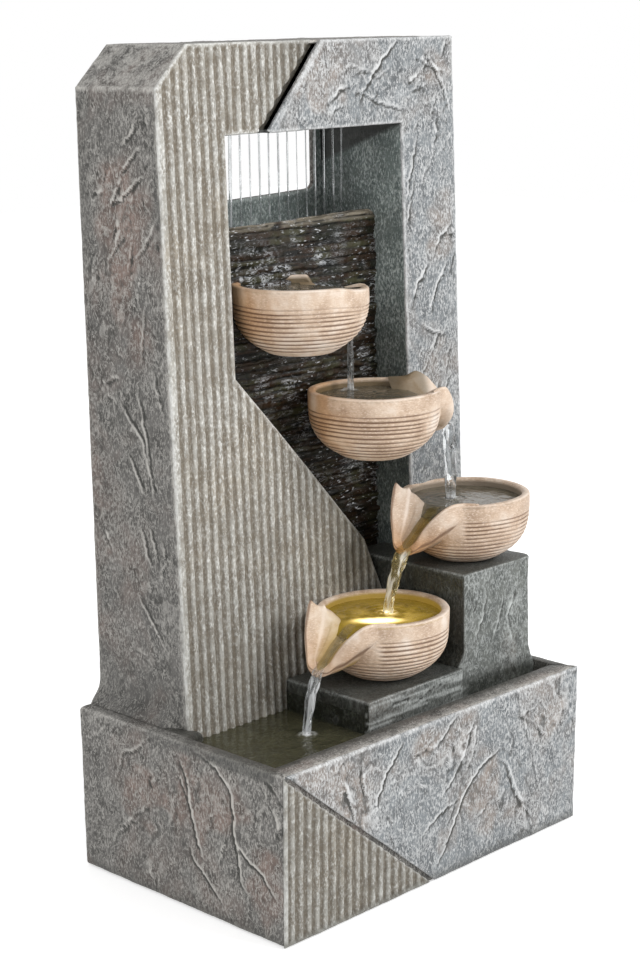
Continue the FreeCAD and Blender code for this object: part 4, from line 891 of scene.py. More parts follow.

# %% [markdown]
# The right pillar and its part of the lintel are cast like split slate, and stand a little proud of the ribs.
# The large cracks are strokes listed one by one, because they give the face its look; the fine ones are
# strewn.

# %% The slate facing
def make_slate_facing():
    _, opening, top = WINDOW
    foot = 150.0
    across = columns([SEAM_LOW_X + SEAM_HALF, SEAM_TOP_X + SEAM_HALF, opening, RIGHT], 1.9)
    seam = np.minimum(tower_seam(across, -SEAM_HALF), TOWER_TOP - fallen(RIGHT - across))
    zones = [strip(across[across >= opening], foot, top, 2.1), strip(across, top, np.maximum(seam, top), 2.1)]
    borders = [(RIGHT, foot - 20, RIGHT, TOWER_TOP - EDGE), (SEAM_TOP_X, TOWER_TOP, RIGHT, TOWER_TOP),
               (opening, foot - 20, opening, top), (SEAM_LOW_X, top, opening, top),
               (SEAM_LOW_X + SEAM_HALF, top, SEAM_TOP_X + SEAM_HALF, TOWER_TOP)]
    strokes = [
        (1.2, 298, 775, 318, 800, 340, 822, 362, 838), (0.8, 292, 790, 320, 778, 352, 768, 372, 764),
        (0.6, 262, 800, 290, 814, 330, 800, 352, 812), (0.7, 250, 778, 272, 790, 300, 796),
        (0.9, 366, 662, 372, 690, 380, 716, 386, 742), (0.8, 364, 640, 372, 662, 380, 700),
        (1.0, 370, 556, 384, 586, 398, 602), (1.0, 398, 546, 412, 578, 430, 602),
        (0.9, 382, 540, 402, 528, 426, 520), (0.8, 404, 606, 420, 630, 440, 642),
        (0.9, 400, 828, 424, 794, 440, 758), (0.7, 384, 820, 410, 808, 436, 800),
        (0.7, 372, 450, 384, 480, 396, 500), (0.7, 410, 440, 424, 470, 436, 480),
        (0.6, 376, 400, 390, 420, 414, 436),
    ]
    strokes += scattered(46, (366, 320), (440, 830), 34, 68, 41)
    strokes += scattered(20, (215, 760), (440, 834), 30, 30, 42)
    grids = []
    for x, z in zones:
        away = from_lines(x, z, borders)
        points, relief = weather(at(x, front_at(z) - SLATE_PROUD + fallen(away), z), deep=1.3)
        carve = limited(creases(x, z, strokes, 43) + 0.45 * crumpled(points, 76, 20.0)) * smooth(away, 0, 5)
        points[..., 1] += (0.7 - 0.7 * carve) * smooth(away, 0, 4)
        damp = 0.5 * smooth(z, 420, 320) * noise(points, 30, 2)
        rust = 0.6 * stains(x, z, [(400, 470, 30, 60), (240, 790, 34, 26), (420, 640, 22, 40)], 20, 3)
        edge = brushed(points, away, 4.5)
        grids.append((points, dict(relief=relief, crease=carve, wet=damp, tint=rust, edge=edge)))
    piece("tower_slate", front_slate, grids, ["slate_facing"], TO_FRONT, 4.0)


make_slate_facing()

# %% [markdown]
# The tower is hollow, so its window needs walls. A path runs round the opening and down the slope, and is
# carried back into the tower. That gives the reveals their depth and the slope its ledge in one piece.

# %% The window's lining and the slope's ledge
def make_lining():
    left, opening, top = WINDOW
    foot = 150.0
    corners = [(SLOPE_X[2], foot), *zip(SLOPE_X[::-1], SLOPE_Z[::-1])]
    corners += [(left, top), (opening, top), (opening, foot)]
    x, z = walk(corners, 3.0, closed=False).T[..., None]
    proud = np.where((z >= top - 0.1) & (x > SEAM_LOW_X) | (x > opening - 0.1), SLATE_PROUD, 0)
    start = front_at(z) + EDGE - proud
    stop = np.where(z < CREST - 15, WALL_FRONT + 10, BASIN_DEEP - BACK_WALL + 2)
    y = start + np.linspace(0, 1, 34) * (stop - start)
    points, relief = weather(at(x, y, z))
    # Painted shadow of the lintel: a slanting band under the window's top, and the lintel's underside, are
    # painted dark.
    under = smooth(z + 0.36 * (y - start), top - 7, top + 5) * (x > opening - 1)
    under = np.maximum(under, z > top - 0.1)
    wet = np.maximum(0.1 + 0.45 * smooth(z, 620, 400), 0.5 * under)
    marks = dict(relief=relief, wet=wet, crease=-0.9 * under)
    piece("window_lining", dark_slate, [(points, marks)], facing=(0, 0, -1), wall=3.0)


make_lining()

# %% [markdown]
# The back is plain, so that the fountain can also stand against a wall. It is laid as strips round the
# service door and the rear opening, whose sill climbs a little and ends in a small round corner.

# %% The tower's back
def back_sill(x):
    """The rear opening's sill: it climbs a little to the right and ends in a small round corner."""
    climb = SILL_CLIMB * np.clip((x - WINDOW[0]) / (WINDOW[1] - WINDOW[0]), 0, 1) ** 1.3
    past = np.clip(x - WINDOW[1] + BACK_LIP + BACK_CORNER, 0, BACK_CORNER)
    return BACK_SILL + climb + BACK_CORNER - np.sqrt(BACK_CORNER ** 2 - past ** 2)


def make_back():
    left, opening, top = WINDOW[0], WINDOW[1] - BACK_LIP, WINDOW[2]
    gap = 0.5
    low, high = span("service_door")
    (door_left, _, door_low), (door_right, _, door_high) = low - gap, high + gap
    inner, outer = TOWER_LEFT + EDGE, RIGHT - EDGE
    arc_x = opening - BACK_CORNER
    across = columns([inner, SLANT_X, left, door_left, door_right, arc_x, opening, outer], 3.4)
    under = across[(across >= left) & (across <= opening)]
    zones = [strip(part, low, high, 3.4) for part, low, high in (
        (across, BASIN_HIGH, door_low), (across[across <= door_left], door_low, door_high),
        (across[across >= door_right], door_low, door_high), (across[across <= left], door_high, top),
        (under, door_high, back_sill(under)), (across[across >= opening], door_high, top),
        (across, top, outline_top(across) - EDGE))]
    strokes = scattered(70, (40, 190), (430, 820), 42, 60, 51)
    grids = []
    for x, z in zones:
        points, relief = weather(at(x, BASIN_DEEP, z), deep=1.0)
        carve = limited(creases(x, z, strokes, 52) + 0.5 * crumpled(points, 78))
        points[..., 1] -= 0.6 - 0.5 * carve
        points[..., 0] -= foot_flare(z) * smooth(x, inner + 24, inner)
        grids.append((points, dict(relief=relief, crease=carve, wet=0.0)))
    piece("tower_back", side_slate, grids, facing=TO_BACK, wall=BACK_WALL - 2)

    sill_x = columns([left - 4, arc_x, opening], 3.0)
    lip_x = np.linspace(opening, WINDOW[1] + 4, 6)
    grids = []
    for x, z in (strip(sill_x, 600.0, back_sill(sill_x), 2.5), strip(lip_x, 600.0, top, 2.5)):
        points, relief = weather(at(x, BASIN_DEEP - BACK_WALL - 0.5, z), deep=1.0)
        pale_lip = 0.8 * smooth(back_sill(x) - z, 4.5, 1.5) * (x <= opening)
        grids.append((points, dict(relief=relief, wet=0.15, edge=pale_lip)))
    piece("tower_back_inside", dark_slate, grids, facing=TO_FRONT, wall=2.0)


make_back()

# %% [markdown]
# ## The steps
# Two rough blocks carry the lower bowls. Each is one closed skin: a rounded ring of points is carried up
# the block, drawn in over the rounded top edge, and shrunk to a line in the middle of the top. A block may
# widen towards its foot on one side; a flare is that side, its height, how wide it grows and how tall it is.

# %% The two steps
def make_step(node, strokes, wet_top, flares=(), wider=0.0, tall=False):
    (x0, y0, z0), (x1, y1, z1) = span(node)
    x1 = x1 + wider
    radius, sharp, blunt = 3.0, 1.8, 8.0
    ring = walk([(x0, y1), (x0, y0 + sharp)] + arc_points(x0 + sharp, y0 + sharp, sharp, 180, 270)
                + arc_points(x1 - blunt, y0 + blunt, blunt, 270, 360) + [(x1, y1)], 2.0)
    middle = np.array([x0 + x1, y0 + y1]) / 2
    half = np.array([x1 - x0, y1 - y0]) / 2
    rows = [(fallen(z1 - z, radius), z) for z in spread(z0, z1, 2.4)]
    rows += [(by, z1) for by in radius + (half.min() - radius) * np.linspace(0, 1, 26)[1:]]
    points = stacked([(middle + (ring - middle) * (1 - by / half).clip(0), z) for by, z in rows])
    x, y, z = axes(points)
    for side, height, wide, high in flares:
        grow = wide * smooth(z, height + high, height) ** 2
        if side == "left":
            x -= grow * (x < x0 + 8)
        else:
            x += grow * (x > x1 - 8)
    points, relief = weather(points, np.array([*middle, (z0 + z1) / 2]), 2.2)
    x, y, z = axes(points)
    at_front = smooth(y, y0 + 9, y0 + 4) * smooth(z1 - z, 0, 6)
    at_left = smooth(x, x0 + 2.6, x0 + 1.2) * smooth(z1 - z, 0, 6)
    carve = creases(x, z, strokes, 61) * at_front
    carve += creases(y, z, scattered(16, (y0 + 8, z0 + 100), (y1 - 30, z1 - 8), 22, 60, 62), 63) * at_left
    carve = limited(carve + 0.5 * crumpled(points, 80, 16.0) * np.maximum(at_front, at_left))
    points[..., 1] += at_front * (0.9 - 0.8 * carve)
    to_edge = box_edge(points, (x0, y0, z0 - 50), (x1, y1 + 50, z1))
    edge = smooth(to_edge, 3.0, 1.2) * (0.6 + 0.4 * smooth(noise(points, 7, 12), 0.2, 0.6)) * (y < y0 + 40)
    low_front = at_front * (not tall)
    edge = np.maximum(edge, 0.8 * smooth(rough(points * (0.12, 1, 1.7), 5, 2, 66), 0.5, 0.68) * low_front)
    # Painted shade: the whole left face is painted dark, and the foot is painted dark both as wet stone and
    # as shade.
    foot = smooth(z, BASIN_HIGH + 14, BASIN_HIGH - 4) * (0.8 if tall else 0.25)
    wet = wet_top * smooth(z, z1 - 3, z1 - 0.5) + 0.85 * at_left + foot + 0.3 * low_front
    marks = dict(relief=relief, crease=carve, wet=np.clip(wet, 0, 1) * (1 - 0.8 * edge), edge=edge)
    piece(f"{node}_skin", step_slate, [(points, marks)], [node])


make_step("upper_step", [(0.8, 330, 215, 345, 240, 352, 270), (0.8, 395, 205, 385, 235, 400, 262),
                         (0.6, 360, 210, 372, 232, 380, 262), (0.5, 322, 240, 336, 262, 340, 284)],
          0.75, [("left", 196, 9, 22), ("right", 165, 12, 42)], wider=6.0, tall=True)
make_step("lower_step", [(0.7, 180, 180, 210, 186, 240, 183), (0.7, 230, 178, 262, 187, 300, 184)], 0.8)

# %% [markdown]
# ## The wet wall
# Thin courses of stacked slate, dark and shining under the film of water. The wall's section goes up the
# front, over a rounded crest and down behind, and that section is carried along X. Each course is cut into
# stones of seeded lengths, and each stone is set back by its own amount.

# %% The stacked courses
COURSE = 6.2
COURSE_FOOT = 130.0
CREST_ROUND = 6.0
WALL_TOP = CREST + 6.0


def make_wet_wall():
    left, opening = WINDOW[0] - 4, WINDOW[1] + 3
    front_rows = np.arange(150.0, WALL_TOP - CREST_ROUND, 1.25)
    turn = np.linspace(0, math.pi / 2, 7)
    depth = span("wet_wall")[1][1] - WALL_FRONT
    y_rows = np.concatenate([np.zeros(len(front_rows)), CREST_ROUND * (1 - np.cos(turn)),
                             depth - CREST_ROUND * 0.7 * np.cos(turn), [depth, depth]])
    z_rows = np.concatenate([front_rows, WALL_TOP - CREST_ROUND * (1 - np.sin(turn)),
                             WALL_TOP - CREST_ROUND * 0.7 * (1 - np.cos(turn)), [630.0, 600.0]])
    x, z = np.meshgrid(np.arange(left, opening + 0.1, 1.6), z_rows)
    y = WALL_FRONT + np.broadcast_to(y_rows[:, None], x.shape)
    corner = 14.0
    z = z + smooth(z, 560, WALL_TOP) * (3.0 * smooth(x, 190, 330) - fallen(WINDOW[1] - x, corner))
    flat = at(x, 0 * x, z)
    chance = np.random.default_rng(5)
    edges = COURSE_FOOT + np.append(0, np.cumsum(chance.uniform(0.55, 1.45, 100) * COURSE))
    wavy = z + 7.0 * (rough(flat * (1, 1, 0.5), 60, 3, 2) - 0.5) + 1.6 * (noise(flat, 9, 7) - 0.5)
    course = np.clip(np.searchsorted(edges, wavy) - 1, 0, len(edges) - 2)
    share = (wavy - edges[course]) / (edges[course + 1] - edges[course])
    layer = at(x, 61.0 * course, 0 * x)
    setback = 4.2 * smooth(noise(layer, 34, 4), 0.15, 0.85)
    tone = noise(layer, 45, 9)
    undercut = smooth(share, 0.34, 0.0)
    lip = smooth(share, 1.0, 0.75)
    relief = rough(flat * (1, 1, 1.6), 9, 3, 6)
    leaves = rough(flat * (0.18, 1, 1.6), 4.5, 2, 21)
    # Near black in the open joints, deepened by painted shade under each course's lip.
    gap = np.clip(undercut + 0.35 * (1 - lip), 0, 1)
    gap = np.maximum(gap, smooth(leaves, 0.45, 0.3))
    inward_by = setback + 1.8 * undercut ** 2 + 2.4 * (1 - leaves) + 2.2 * (1 - relief)
    y = y + inward_by * smooth(y, WALL_FRONT + 4, WALL_FRONT + 0.5)
    z = z - 1.8 * noise(flat * (1, 0, 0), 24, 8) * (z > WALL_TOP - 8)
    running = 0.5 + 0.5 * smooth(z, 480, 600)
    streams = smooth(noise(flat * (1, 0, 0.25), 20, 15), 0.35, 0.75)
    ledge = lip * (1 - undercut)
    broken = smooth(rough(flat * (0.7, 1, 1.2), 12, 3, 16), 0.47, 0.6) * ledge
    # White water breaking on the ledges and splashing, and with it painted highlights on the wet film.
    splash = smooth(np.hypot((x - 172) / 62, (z - 608) / 38), 1.1, 0.3)
    upright = smooth(rough(flat * (1.5, 1, 0.7), 7, 3, 22), 0.5, 0.62)
    foam = np.clip(broken * streams * running + 0.7 * splash * upright, 0, 1)
    # Painted highlights: small white glints strewn on the wet ledges, thickest in patches.
    drops = (0.35 + 0.65 * smooth(noise(flat * (1, 0, 0.6), 45, 17), 0.35, 0.6)) * ledge
    silt = smooth(z, WALL_TOP - 9, WALL_TOP - 3) * smooth(rough(flat, 16, 3, 18), 0.15, 0.5)
    marks = dict(relief=relief, gap=gap, stone=tone, foam=foam, drops=drops, silt=silt)
    piece("wet_wall_skin", wet_stone, [(at(x, y, z), marks)], ["wet_wall"], TO_FRONT, 2.0)
    x, z = strip(np.arange(left, opening + 0.1, 4.0), 150.0, 640.0, 4.0)
    points, relief = weather(at(x, WALL_FRONT + depth - 0.5, z), deep=1.0)
    piece("wet_wall_back", dark_slate, [(points, dict(relief=relief, wet=0.3))], facing=TO_BACK, wall=1.5)


def stacked_slate():
    """Natural slate under running water: nearly black brown, with rust in a few stones, and a wet gloss.

    The water is a clear coat over rough stone, so the stone keeps its grain and the film shines. The white is
    foam with painted glints, and the near black of the joints is deepened by painted shade.
    """
    material, add, place = new_material("slate_stacked_wet")
    tone, gap, silt, foam, drops = (add("Attribute", attribute_name=mark)
                                    for mark in ("stone", "gap", "silt", "foam", "drops"))
    drift = add("TexNoise", Vector=place, Scale=per(30), Detail=4)
    mixed = add("Math", tone, 0.5, drift, operation="MULTIPLY_ADD")
    ramp = add("ValToRGB", Fac=mixed)
    stops = ramp.color_ramp.elements
    places = (0.3, 0.55, 0.76, 0.95)
    for position in places[1:-1]:
        stops.new(position)
    for stop, position, shade in zip(stops, places, ("11120a", "1d1e12", "2c1c0e", "3b3a26")):
        stop.position, stop.color = position, colour(shade)
    silted = add("Mix", Factor=silt, A=ramp, B="827a6b", data_type="RGBA")
    # The open joints' dark, deepened by painted shade under the lips.
    joints_and_painted_shade = add("Mix", Factor=gap, A=silted, B="090906", data_type="RGBA")
    across = add("Mapping", Vector=place, Scale=(0.5, 1, 1.5))
    curl = add("TexNoise", Vector=across, Scale=per(6), Detail=3, Distortion=1.5)
    far = add("Math", add("Math", curl, 0.5, operation="SUBTRACT"), operation="ABSOLUTE")
    broken = add("Math", add("MapRange", far, 0.06, 0.015), foam, operation="MULTIPLY")
    # Painted highlights: small white glints where the mark allows.
    spray = add("TexNoise", Vector=across, Scale=per(3.2), Detail=2)
    glints = add("Math", add("MapRange", spray, 0.63, 0.7), drops, operation="MULTIPLY")
    foam_and_painted_glints = add("Math", broken, glints, operation="MAXIMUM")
    white = add("Mix", Factor=foam_and_painted_glints, A=joints_and_painted_shade, B="d5d8dc", data_type="RGBA")
    grain = add("TexNoise", Vector=place, Scale=per(5), Detail=5, Roughness=0.7)
    running = add("Mapping", Vector=place, Scale=(1, 1, 0.5))
    ripple = add("TexNoise", Vector=running, Scale=per(9), Detail=3, Distortion=1.2)
    bump = add("Bump", Strength=0.7, Distance=0.0015, Height=grain)
    film = add("Bump", Strength=0.9, Distance=0.004, Height=ripple)
    skin = add("BsdfPrincipled", Base_Color=white, Roughness=0.5, Specular_IOR_Level=0.15, Normal=bump,
               Coat_Weight=0.5, Coat_Roughness=0.06, Coat_IOR=1.33, Coat_Normal=film)
    add("OutputMaterial", Surface=skin)
    return material


wet_stone = stacked_slate()
make_wet_wall()

# %% [markdown]
# ## The bowls
# Four thrown stoneware bowls, each with a spout folded like a leaf. A bowl is a profile turned about its
# axis: from the middle of the foot up the grooved side, over the flat rim, and down the inside to the
# middle of the floor. The grooves were cut by hand on the wheel, so they wander and differ in depth.

# %% A turned bowl
BOWL_RADIUS, BOWL_HIGH, BOWL_FOOT, BOWL_WALL = 70.0, 71.0, 33.0, 8.3
BAND = 17.0
LEAF_GAP = 31
GROOVE_PITCH, GROOVE_DEEP = 4.6, 1.7


def bowl_radius(z):
    """The outside radius at a height above the foot: 33 + 37 (1 - (1 - t)^4), flat below, steep above."""
    t = np.clip(z / BOWL_HIGH, 0, 1)
    return BOWL_FOOT + (BOWL_RADIUS - BOWL_FOOT) * (1 - (1 - t) ** 4)


def bowl_profile():
    """Radius, height above the foot, and 1 where the profile is the grooved outside."""
    side = np.concatenate([np.linspace(1.0, BOWL_HIGH - BAND, 88), np.linspace(BOWL_HIGH - BAND, 69, 9)[1:]])
    turn = np.linspace(0, math.pi / 2, 5)
    inner = np.linspace(BOWL_HIGH - 2, 12, 26)
    rim_in = BOWL_RADIUS - BOWL_WALL
    runs = [
        (np.linspace(0, BOWL_FOOT - 1, 7), np.zeros(7), 0),
        (bowl_radius(side), side, 1),
        (BOWL_RADIUS - 2 * (1 - np.cos(turn)), BOWL_HIGH - 2 + 2 * np.sin(turn), 0),
        (rim_in + 2 * np.cos(turn), BOWL_HIGH - 2 + 2 * np.cos(turn), 0),
        (bowl_radius(inner) - BOWL_WALL, inner, 0),
        (np.linspace(30, 0, 8), np.full(8, 9.0), 0),
    ]
    return np.concatenate([np.array(np.broadcast_arrays(*run), float) for run in runs], axis=1)


# %% [markdown]
# Each spout is a sheet of clay folded like a leaf: it leaves the rim, turns down and ends in a narrow mouth
# over the next bowl. It could be sculpted, but a few sections, joined by a smooth curve, are easier to steer.

# %% The folded leaf
LEAF_ROUND = 97
LEAF_MARKS = np.array([0.95, 0.3, 0.0, 0.0, 0.1, 0.97, 0.3, 0.1, 0.0, 0.2])
LEAF_INNER = np.array([0.0, 0.3, 1.0, 1.0, 1.0, 0.3, 0.0, 0.0, 0.0, 0.0])
HORNS = [(75, -31, 6.0, 9.0), (60, -25, 7.0, 6.0)]
LEAF_REACH = {1: 0.95, 2: 0.78, 3: 1.0, 4: 1.0}
LEAF_ROOT = 54
LEAF_CROWN = {1: 0.1, 2: 0.55, 3: 1.0, 4: 1.0}


def through(points, count, closed=False):
    """A Catmull-Rom curve through points along the first axis; closed curves end where they start."""
    points = np.asarray(points, float)
    size = len(points)
    place = np.linspace(0, size if closed else size - 1, count)
    low = np.minimum(np.floor(place).astype(int), size - 1 if closed else size - 2)
    t = (place - low).reshape((-1,) + (1,) * (points.ndim - 1))
    pick = (lambda i: points[i % size]) if closed else (lambda i: points[np.clip(i, 0, size - 1)])
    a, b, c, d = (pick(low + shift) for shift in (-1, 0, 1, 2))
    return 0.5 * (2 * b + (c - a) * t + (2 * a - 5 * b + 4 * c - d) * t ** 2
                  + (3 * b - a - 3 * c + d) * t ** 3)


def leaf_stations():
    """Closed sections of the folded leaf from the rim to the mouth, and the mouth's middle.

    Across the leaf: near rim outside and inside, near wall, channel, far wall, ridge, fold, far back,
    underside, near petal. Out from the bowl's axis, towards the near side, and up from the rim. The first
    section lies inside the bowl's wall, so that the leaf grows out of the clay.
    """
    return np.array([
        [(40, 54, -1), (37, 49, -2), (38, 26, -9), (38, 0, -15), (36, -22, -12), (40, -41, -2), (45, -48, -1),
         (47, -44, -22), (42, 0, -50), (43, 48, -22)],
        [(54, 43, 0), (49, 38, -1), (46, 22, -9), (47, 0, -15), (45, -16, -10), (50, -27, 1), (58, -36, 2),
         (60, -32, -22), (52, 0, -52), (56, 38, -24)],
        [(68, 37, -2), (63, 31, -3), (59, 18, -13), (58, 0, -21), (56, -13, -12), (60, -24, 1),
         (76, -31, 11), (78, -27, -18), (68, 0, -51), (71, 33, -28)],
        [(79, 27, -13), (74, 21, -14), (70, 12, -21), (69, 0, -28), (67, -10, -19), (70, -19, -14),
         (89, -24, -8), (90, -18, -32), (80, 1, -52), (82, 26, -37)],
        [(86, 18, -26), (82, 13, -27), (80, 8, -32), (80, 0, -37), (79, -8, -31), (81, -14, -27),
         (96, -16, -26), (97, -12, -42), (90, 1, -53), (89, 17, -43)],
        [(92, 12, -38), (89, 9, -38), (89, 6, -42), (91, 0, -45), (91, -6, -42), (91, -9, -38),
         (100, -10, -42), (100, -7, -49), (98, 1, -53), (95, 11, -48)],
        [(97, 1, -48)] * 10,
    ], float)


# %% [markdown]
# The four bowls are alike, so each is worked out in directions of its own and then turned into place: the
# upper two spill to the right and the lower two to the left. Each ends flat where it meets what is behind.

# %% Put a bowl in its place
BOWLS = {1: (198.0, 168.0, 603.0, 13.0, -1, 224.0), 2: (281.0, 145.0, 486.0, -18.0, -1, 224.0),
         3: (376.0, 104.0, 366.0, 180.0, 1, 172.0), 4: (244.0, 102.0, 267.0, 180.0, 1, 172.0)}
OPEN_FAR, OPEN_NEAR = -22.0, 34.0


def placed(number, out, near, up):
    """From a bowl's own directions (out along the spout, towards the near side, up from the rim)."""
    x, y, rim, turn, side, back = BOWLS[number]
    along = np.array([math.cos(math.radians(turn)), math.sin(math.radians(turn))])
    beside = side * np.array([-along[1], along[0]])
    px = x + out * along[0] + near * beside[0]
    py = y + out * along[1] + near * beside[1]
    return at(px, np.minimum(py, back), rim + up)


def reached(number, out, bulge=1.0):
    """A leaf's length beyond its root, stretched by the bowl's own share."""
    return np.where(out > LEAF_ROOT, LEAF_ROOT + LEAF_REACH[number] * bulge * (out - LEAF_ROOT), out)


def sunk(number, out, near):
    """The uppermost bowl's rim sinks towards its two ends as the photograph sees them, by 5.5 mm."""
    return 5.5 * smooth(np.abs(0.52 * out + 0.85 * near), 34, 68) * smooth(near, -20, 10) * (number == 1)


# %% [markdown]
# The clay is bare and was stained after firing. The stain was wiped off again, so it stays in the grooves,
# and the ridges are pale. The warm light of a lamp in or behind a bowl is painted into the clay as a tint,
# and the lowest bowl has a painted glow.

# %% Stoneware
def amber(number, points, up):
    """Painted lamp light: a warm tint where the lamps would light the clay; the left of the upper bowls, the
    foot of the third.
    """
    x, y = BOWLS[number][:2]
    left = (points[..., 1] - y - points[..., 0] + x) / (math.sqrt(2) * BOWL_RADIUS)
    if number < 3:
        return 0.7 * smooth(left, 0.0, 0.85) * (0.5 + 0.5 * smooth(noise(points, 18, 24), 0.3, 0.6))
    if number == 3:
        return 0.8 * smooth(left, 0.0, 0.9) * smooth(up, -12, -45)
    return 0.4 * smooth(left, -0.2, 0.8) * smooth(up, -5, -40)


def stoneware(name, inside, glow, tones=("ae937b", "d0b8a1", "e8dacc")):
    """Unglazed stoneware, wheel thrown and stained: tan clay, brown in the grooves, pale on the ridges.

    The stain was wiped off the high places, so it follows the groove and ridge marks. The inside takes its
    own colour, which in the lowest bowl is painted lamp light: gold, with a little painted glow.
    """
    material, add, place = new_material(name)
    ridge, painted_lamp_light, groove, lit = (add("Attribute", attribute_name=mark)
                                  for mark in ("ridge", "amber", "groove", "lit"))
    cloud = add("TexNoise", Vector=place, Scale=per(28), Detail=4, Roughness=0.6)
    clay = add("ValToRGB", Fac=cloud)
    stops = clay.color_ramp.elements
    stops.new(0.5)
    for stop, position, tone in zip(stops, (0.3, 0.5, 0.7), tones):
        stop.position, stop.color = position, colour(tone)
    flat = add("Mapping", Vector=place, Scale=(1, 1, 2.6))
    speck = add("TexNoise", Vector=flat, Scale=per(3), Detail=3, Roughness=0.7)
    chalk = add("MapRange", speck, 0.5, 0.66, 0, 0.7)
    chalked = add("Mix", Factor=chalk, A=clay, B="ead9c8", data_type="RGBA")
    edged = add("Mix", Factor=ridge, A=chalked, B="efe0d2", data_type="RGBA")
    # Painted lamp light: the warm tint multiplies the clay's colour.
    lamp_lit_clay = add("Mix", Factor=painted_lamp_light, A=edged, B="e6bd86", data_type="RGBA", blend_type="MULTIPLY")
    stain = add("MapRange", groove, 0.1, 0.8, 0, 0.9)
    stained = add("Mix", Factor=stain, A=lamp_lit_clay, B="6e5039", data_type="RGBA")
    within = add("Math", lit, 0.9, operation="MULTIPLY")
    full = add("Mix", Factor=within, A=stained, B=inside, data_type="RGBA")
    pits = add("TexNoise", Vector=flat, Scale=per(3.5), Detail=4)
    bump = add("Bump", Strength=0.6, Distance=0.001, Height=pits)
    # Painted glow: the inside of a lit bowl gives off light, though the clay is no lamp.
    painted_clay_glow = add("Math", lit, glow, operation="MULTIPLY")
    skin = add("BsdfPrincipled", Base_Color=full, Roughness=0.5, Normal=bump, Emission_Color="ffc83c",
               Emission_Strength=painted_clay_glow)
    add("OutputMaterial", Surface=skin)
    return material


plain_stoneware = stoneware("stoneware_plain", "84796a", 0, ("a58b74", "c6ad96", "ddcdbd"))
# Painted lamp light: lit copies of one stoneware, darker inside in the upper bowls, gold and glowing in the
# lowest.
lamp_tinted_stoneware = stoneware("stoneware_low_lit", "5f4f2f", 0)
lit_stoneware = stoneware("stoneware_lamp_lit", "8f7a2c", 0.12)


def bowl_finish(number):
    """The lowest bowl has the painted lamp glow, and the upper two the finish for the painted warm lamp tint.
    """
    return lit_stoneware if number == 4 else lamp_tinted_stoneware if number < 3 else plain_stoneware


# %% [markdown]
# A thrown body is its profile carried round the axis, radius by angle. The grooves are a narrow bell curve
# round the middle of each groove's share of the height, and the side is lowered where the leaf leaves it.

# %% The thrown bodies
def make_thrown(number):
    r, z, outside = bowl_profile()[..., None]
    angle = np.radians(np.linspace(0, 360, 241))
    spin, height = np.meshgrid(angle, z)
    radius = np.broadcast_to(r, spin.shape)
    ball = at(60 * np.cos(spin), 60 * np.sin(spin), height) + 31 * number
    level = at(0 * height, 0 * height, height) + 57 * number
    wander = height + 2.4 * (noise(ball * (1, 1, 0.4), 40, 3) - 0.5) + 1.8 * noise(level, 9, 8)
    share = wander / GROOVE_PITCH % 1
    worn = smooth(noise(ball * (1, 1, 2.0), 26, 5), 0.12, 0.5)
    groove = np.exp(-((share - 0.5) / 0.19) ** 2) * (0.5 + 0.5 * worn)
    groove = groove * outside * smooth(height, BOWL_HIGH - BAND, BOWL_HIGH - BAND - 3)
    azimuth = np.degrees(np.arctan2(np.sin(spin), np.cos(spin)))
    beside = smooth(azimuth, OPEN_NEAR + 11, OPEN_NEAR + 2) * smooth(azimuth, OPEN_FAR - 12, OPEN_FAR)
    groove = groove * smooth(height, 2, 5) * (1 - beside * smooth(height, 16, 34))
    uneven = 1.6 * (1 - rough(ball, 34, 3, 2)) * smooth(radius, 20, 40)
    radius = radius - GROOVE_DEEP * groove - uneven
    open_by = smooth(azimuth, OPEN_FAR - 5, OPEN_FAR + 12) * smooth(azimuth, OPEN_NEAR + 5, OPEN_NEAR - 16)
    top_share = smooth(height, BOWL_HIGH - 40, BOWL_HIGH)
    up = height - BOWL_HIGH - LEAF_GAP * open_by * top_share
    up = up + top_share * 1.6 * (noise(ball * (1, 1, 0), 45, 7) - 1.0)
    out, near = radius * np.cos(spin), radius * np.sin(spin)
    points = placed(number, out, near, up - top_share * sunk(number, out, near))
    rim_edge = np.hypot(radius - BOWL_RADIUS + 1.5, up)
    marks = dict(groove=groove, relief=rough(ball, 12, 3, 4), amber=amber(number, points, up),
                 lit=(1 - outside) * smooth(height, 4, 9) * smooth(-up, 1.5, 5),
                 ridge=0.8 * smooth(rim_edge, 2.6, 0.6) * smooth(noise(ball, 14, 3), 0.2, 0.6))
    piece(f"bowl_{number}_thrown", bowl_finish(number), [(points, marks)], [f"bowl_{number}"])


# %% [markdown]
# The leaves take the same curves for all four, and differ in reach and in how high the crown stands. Their
# folds are a sine round the section, and the channel where the water runs is wet.

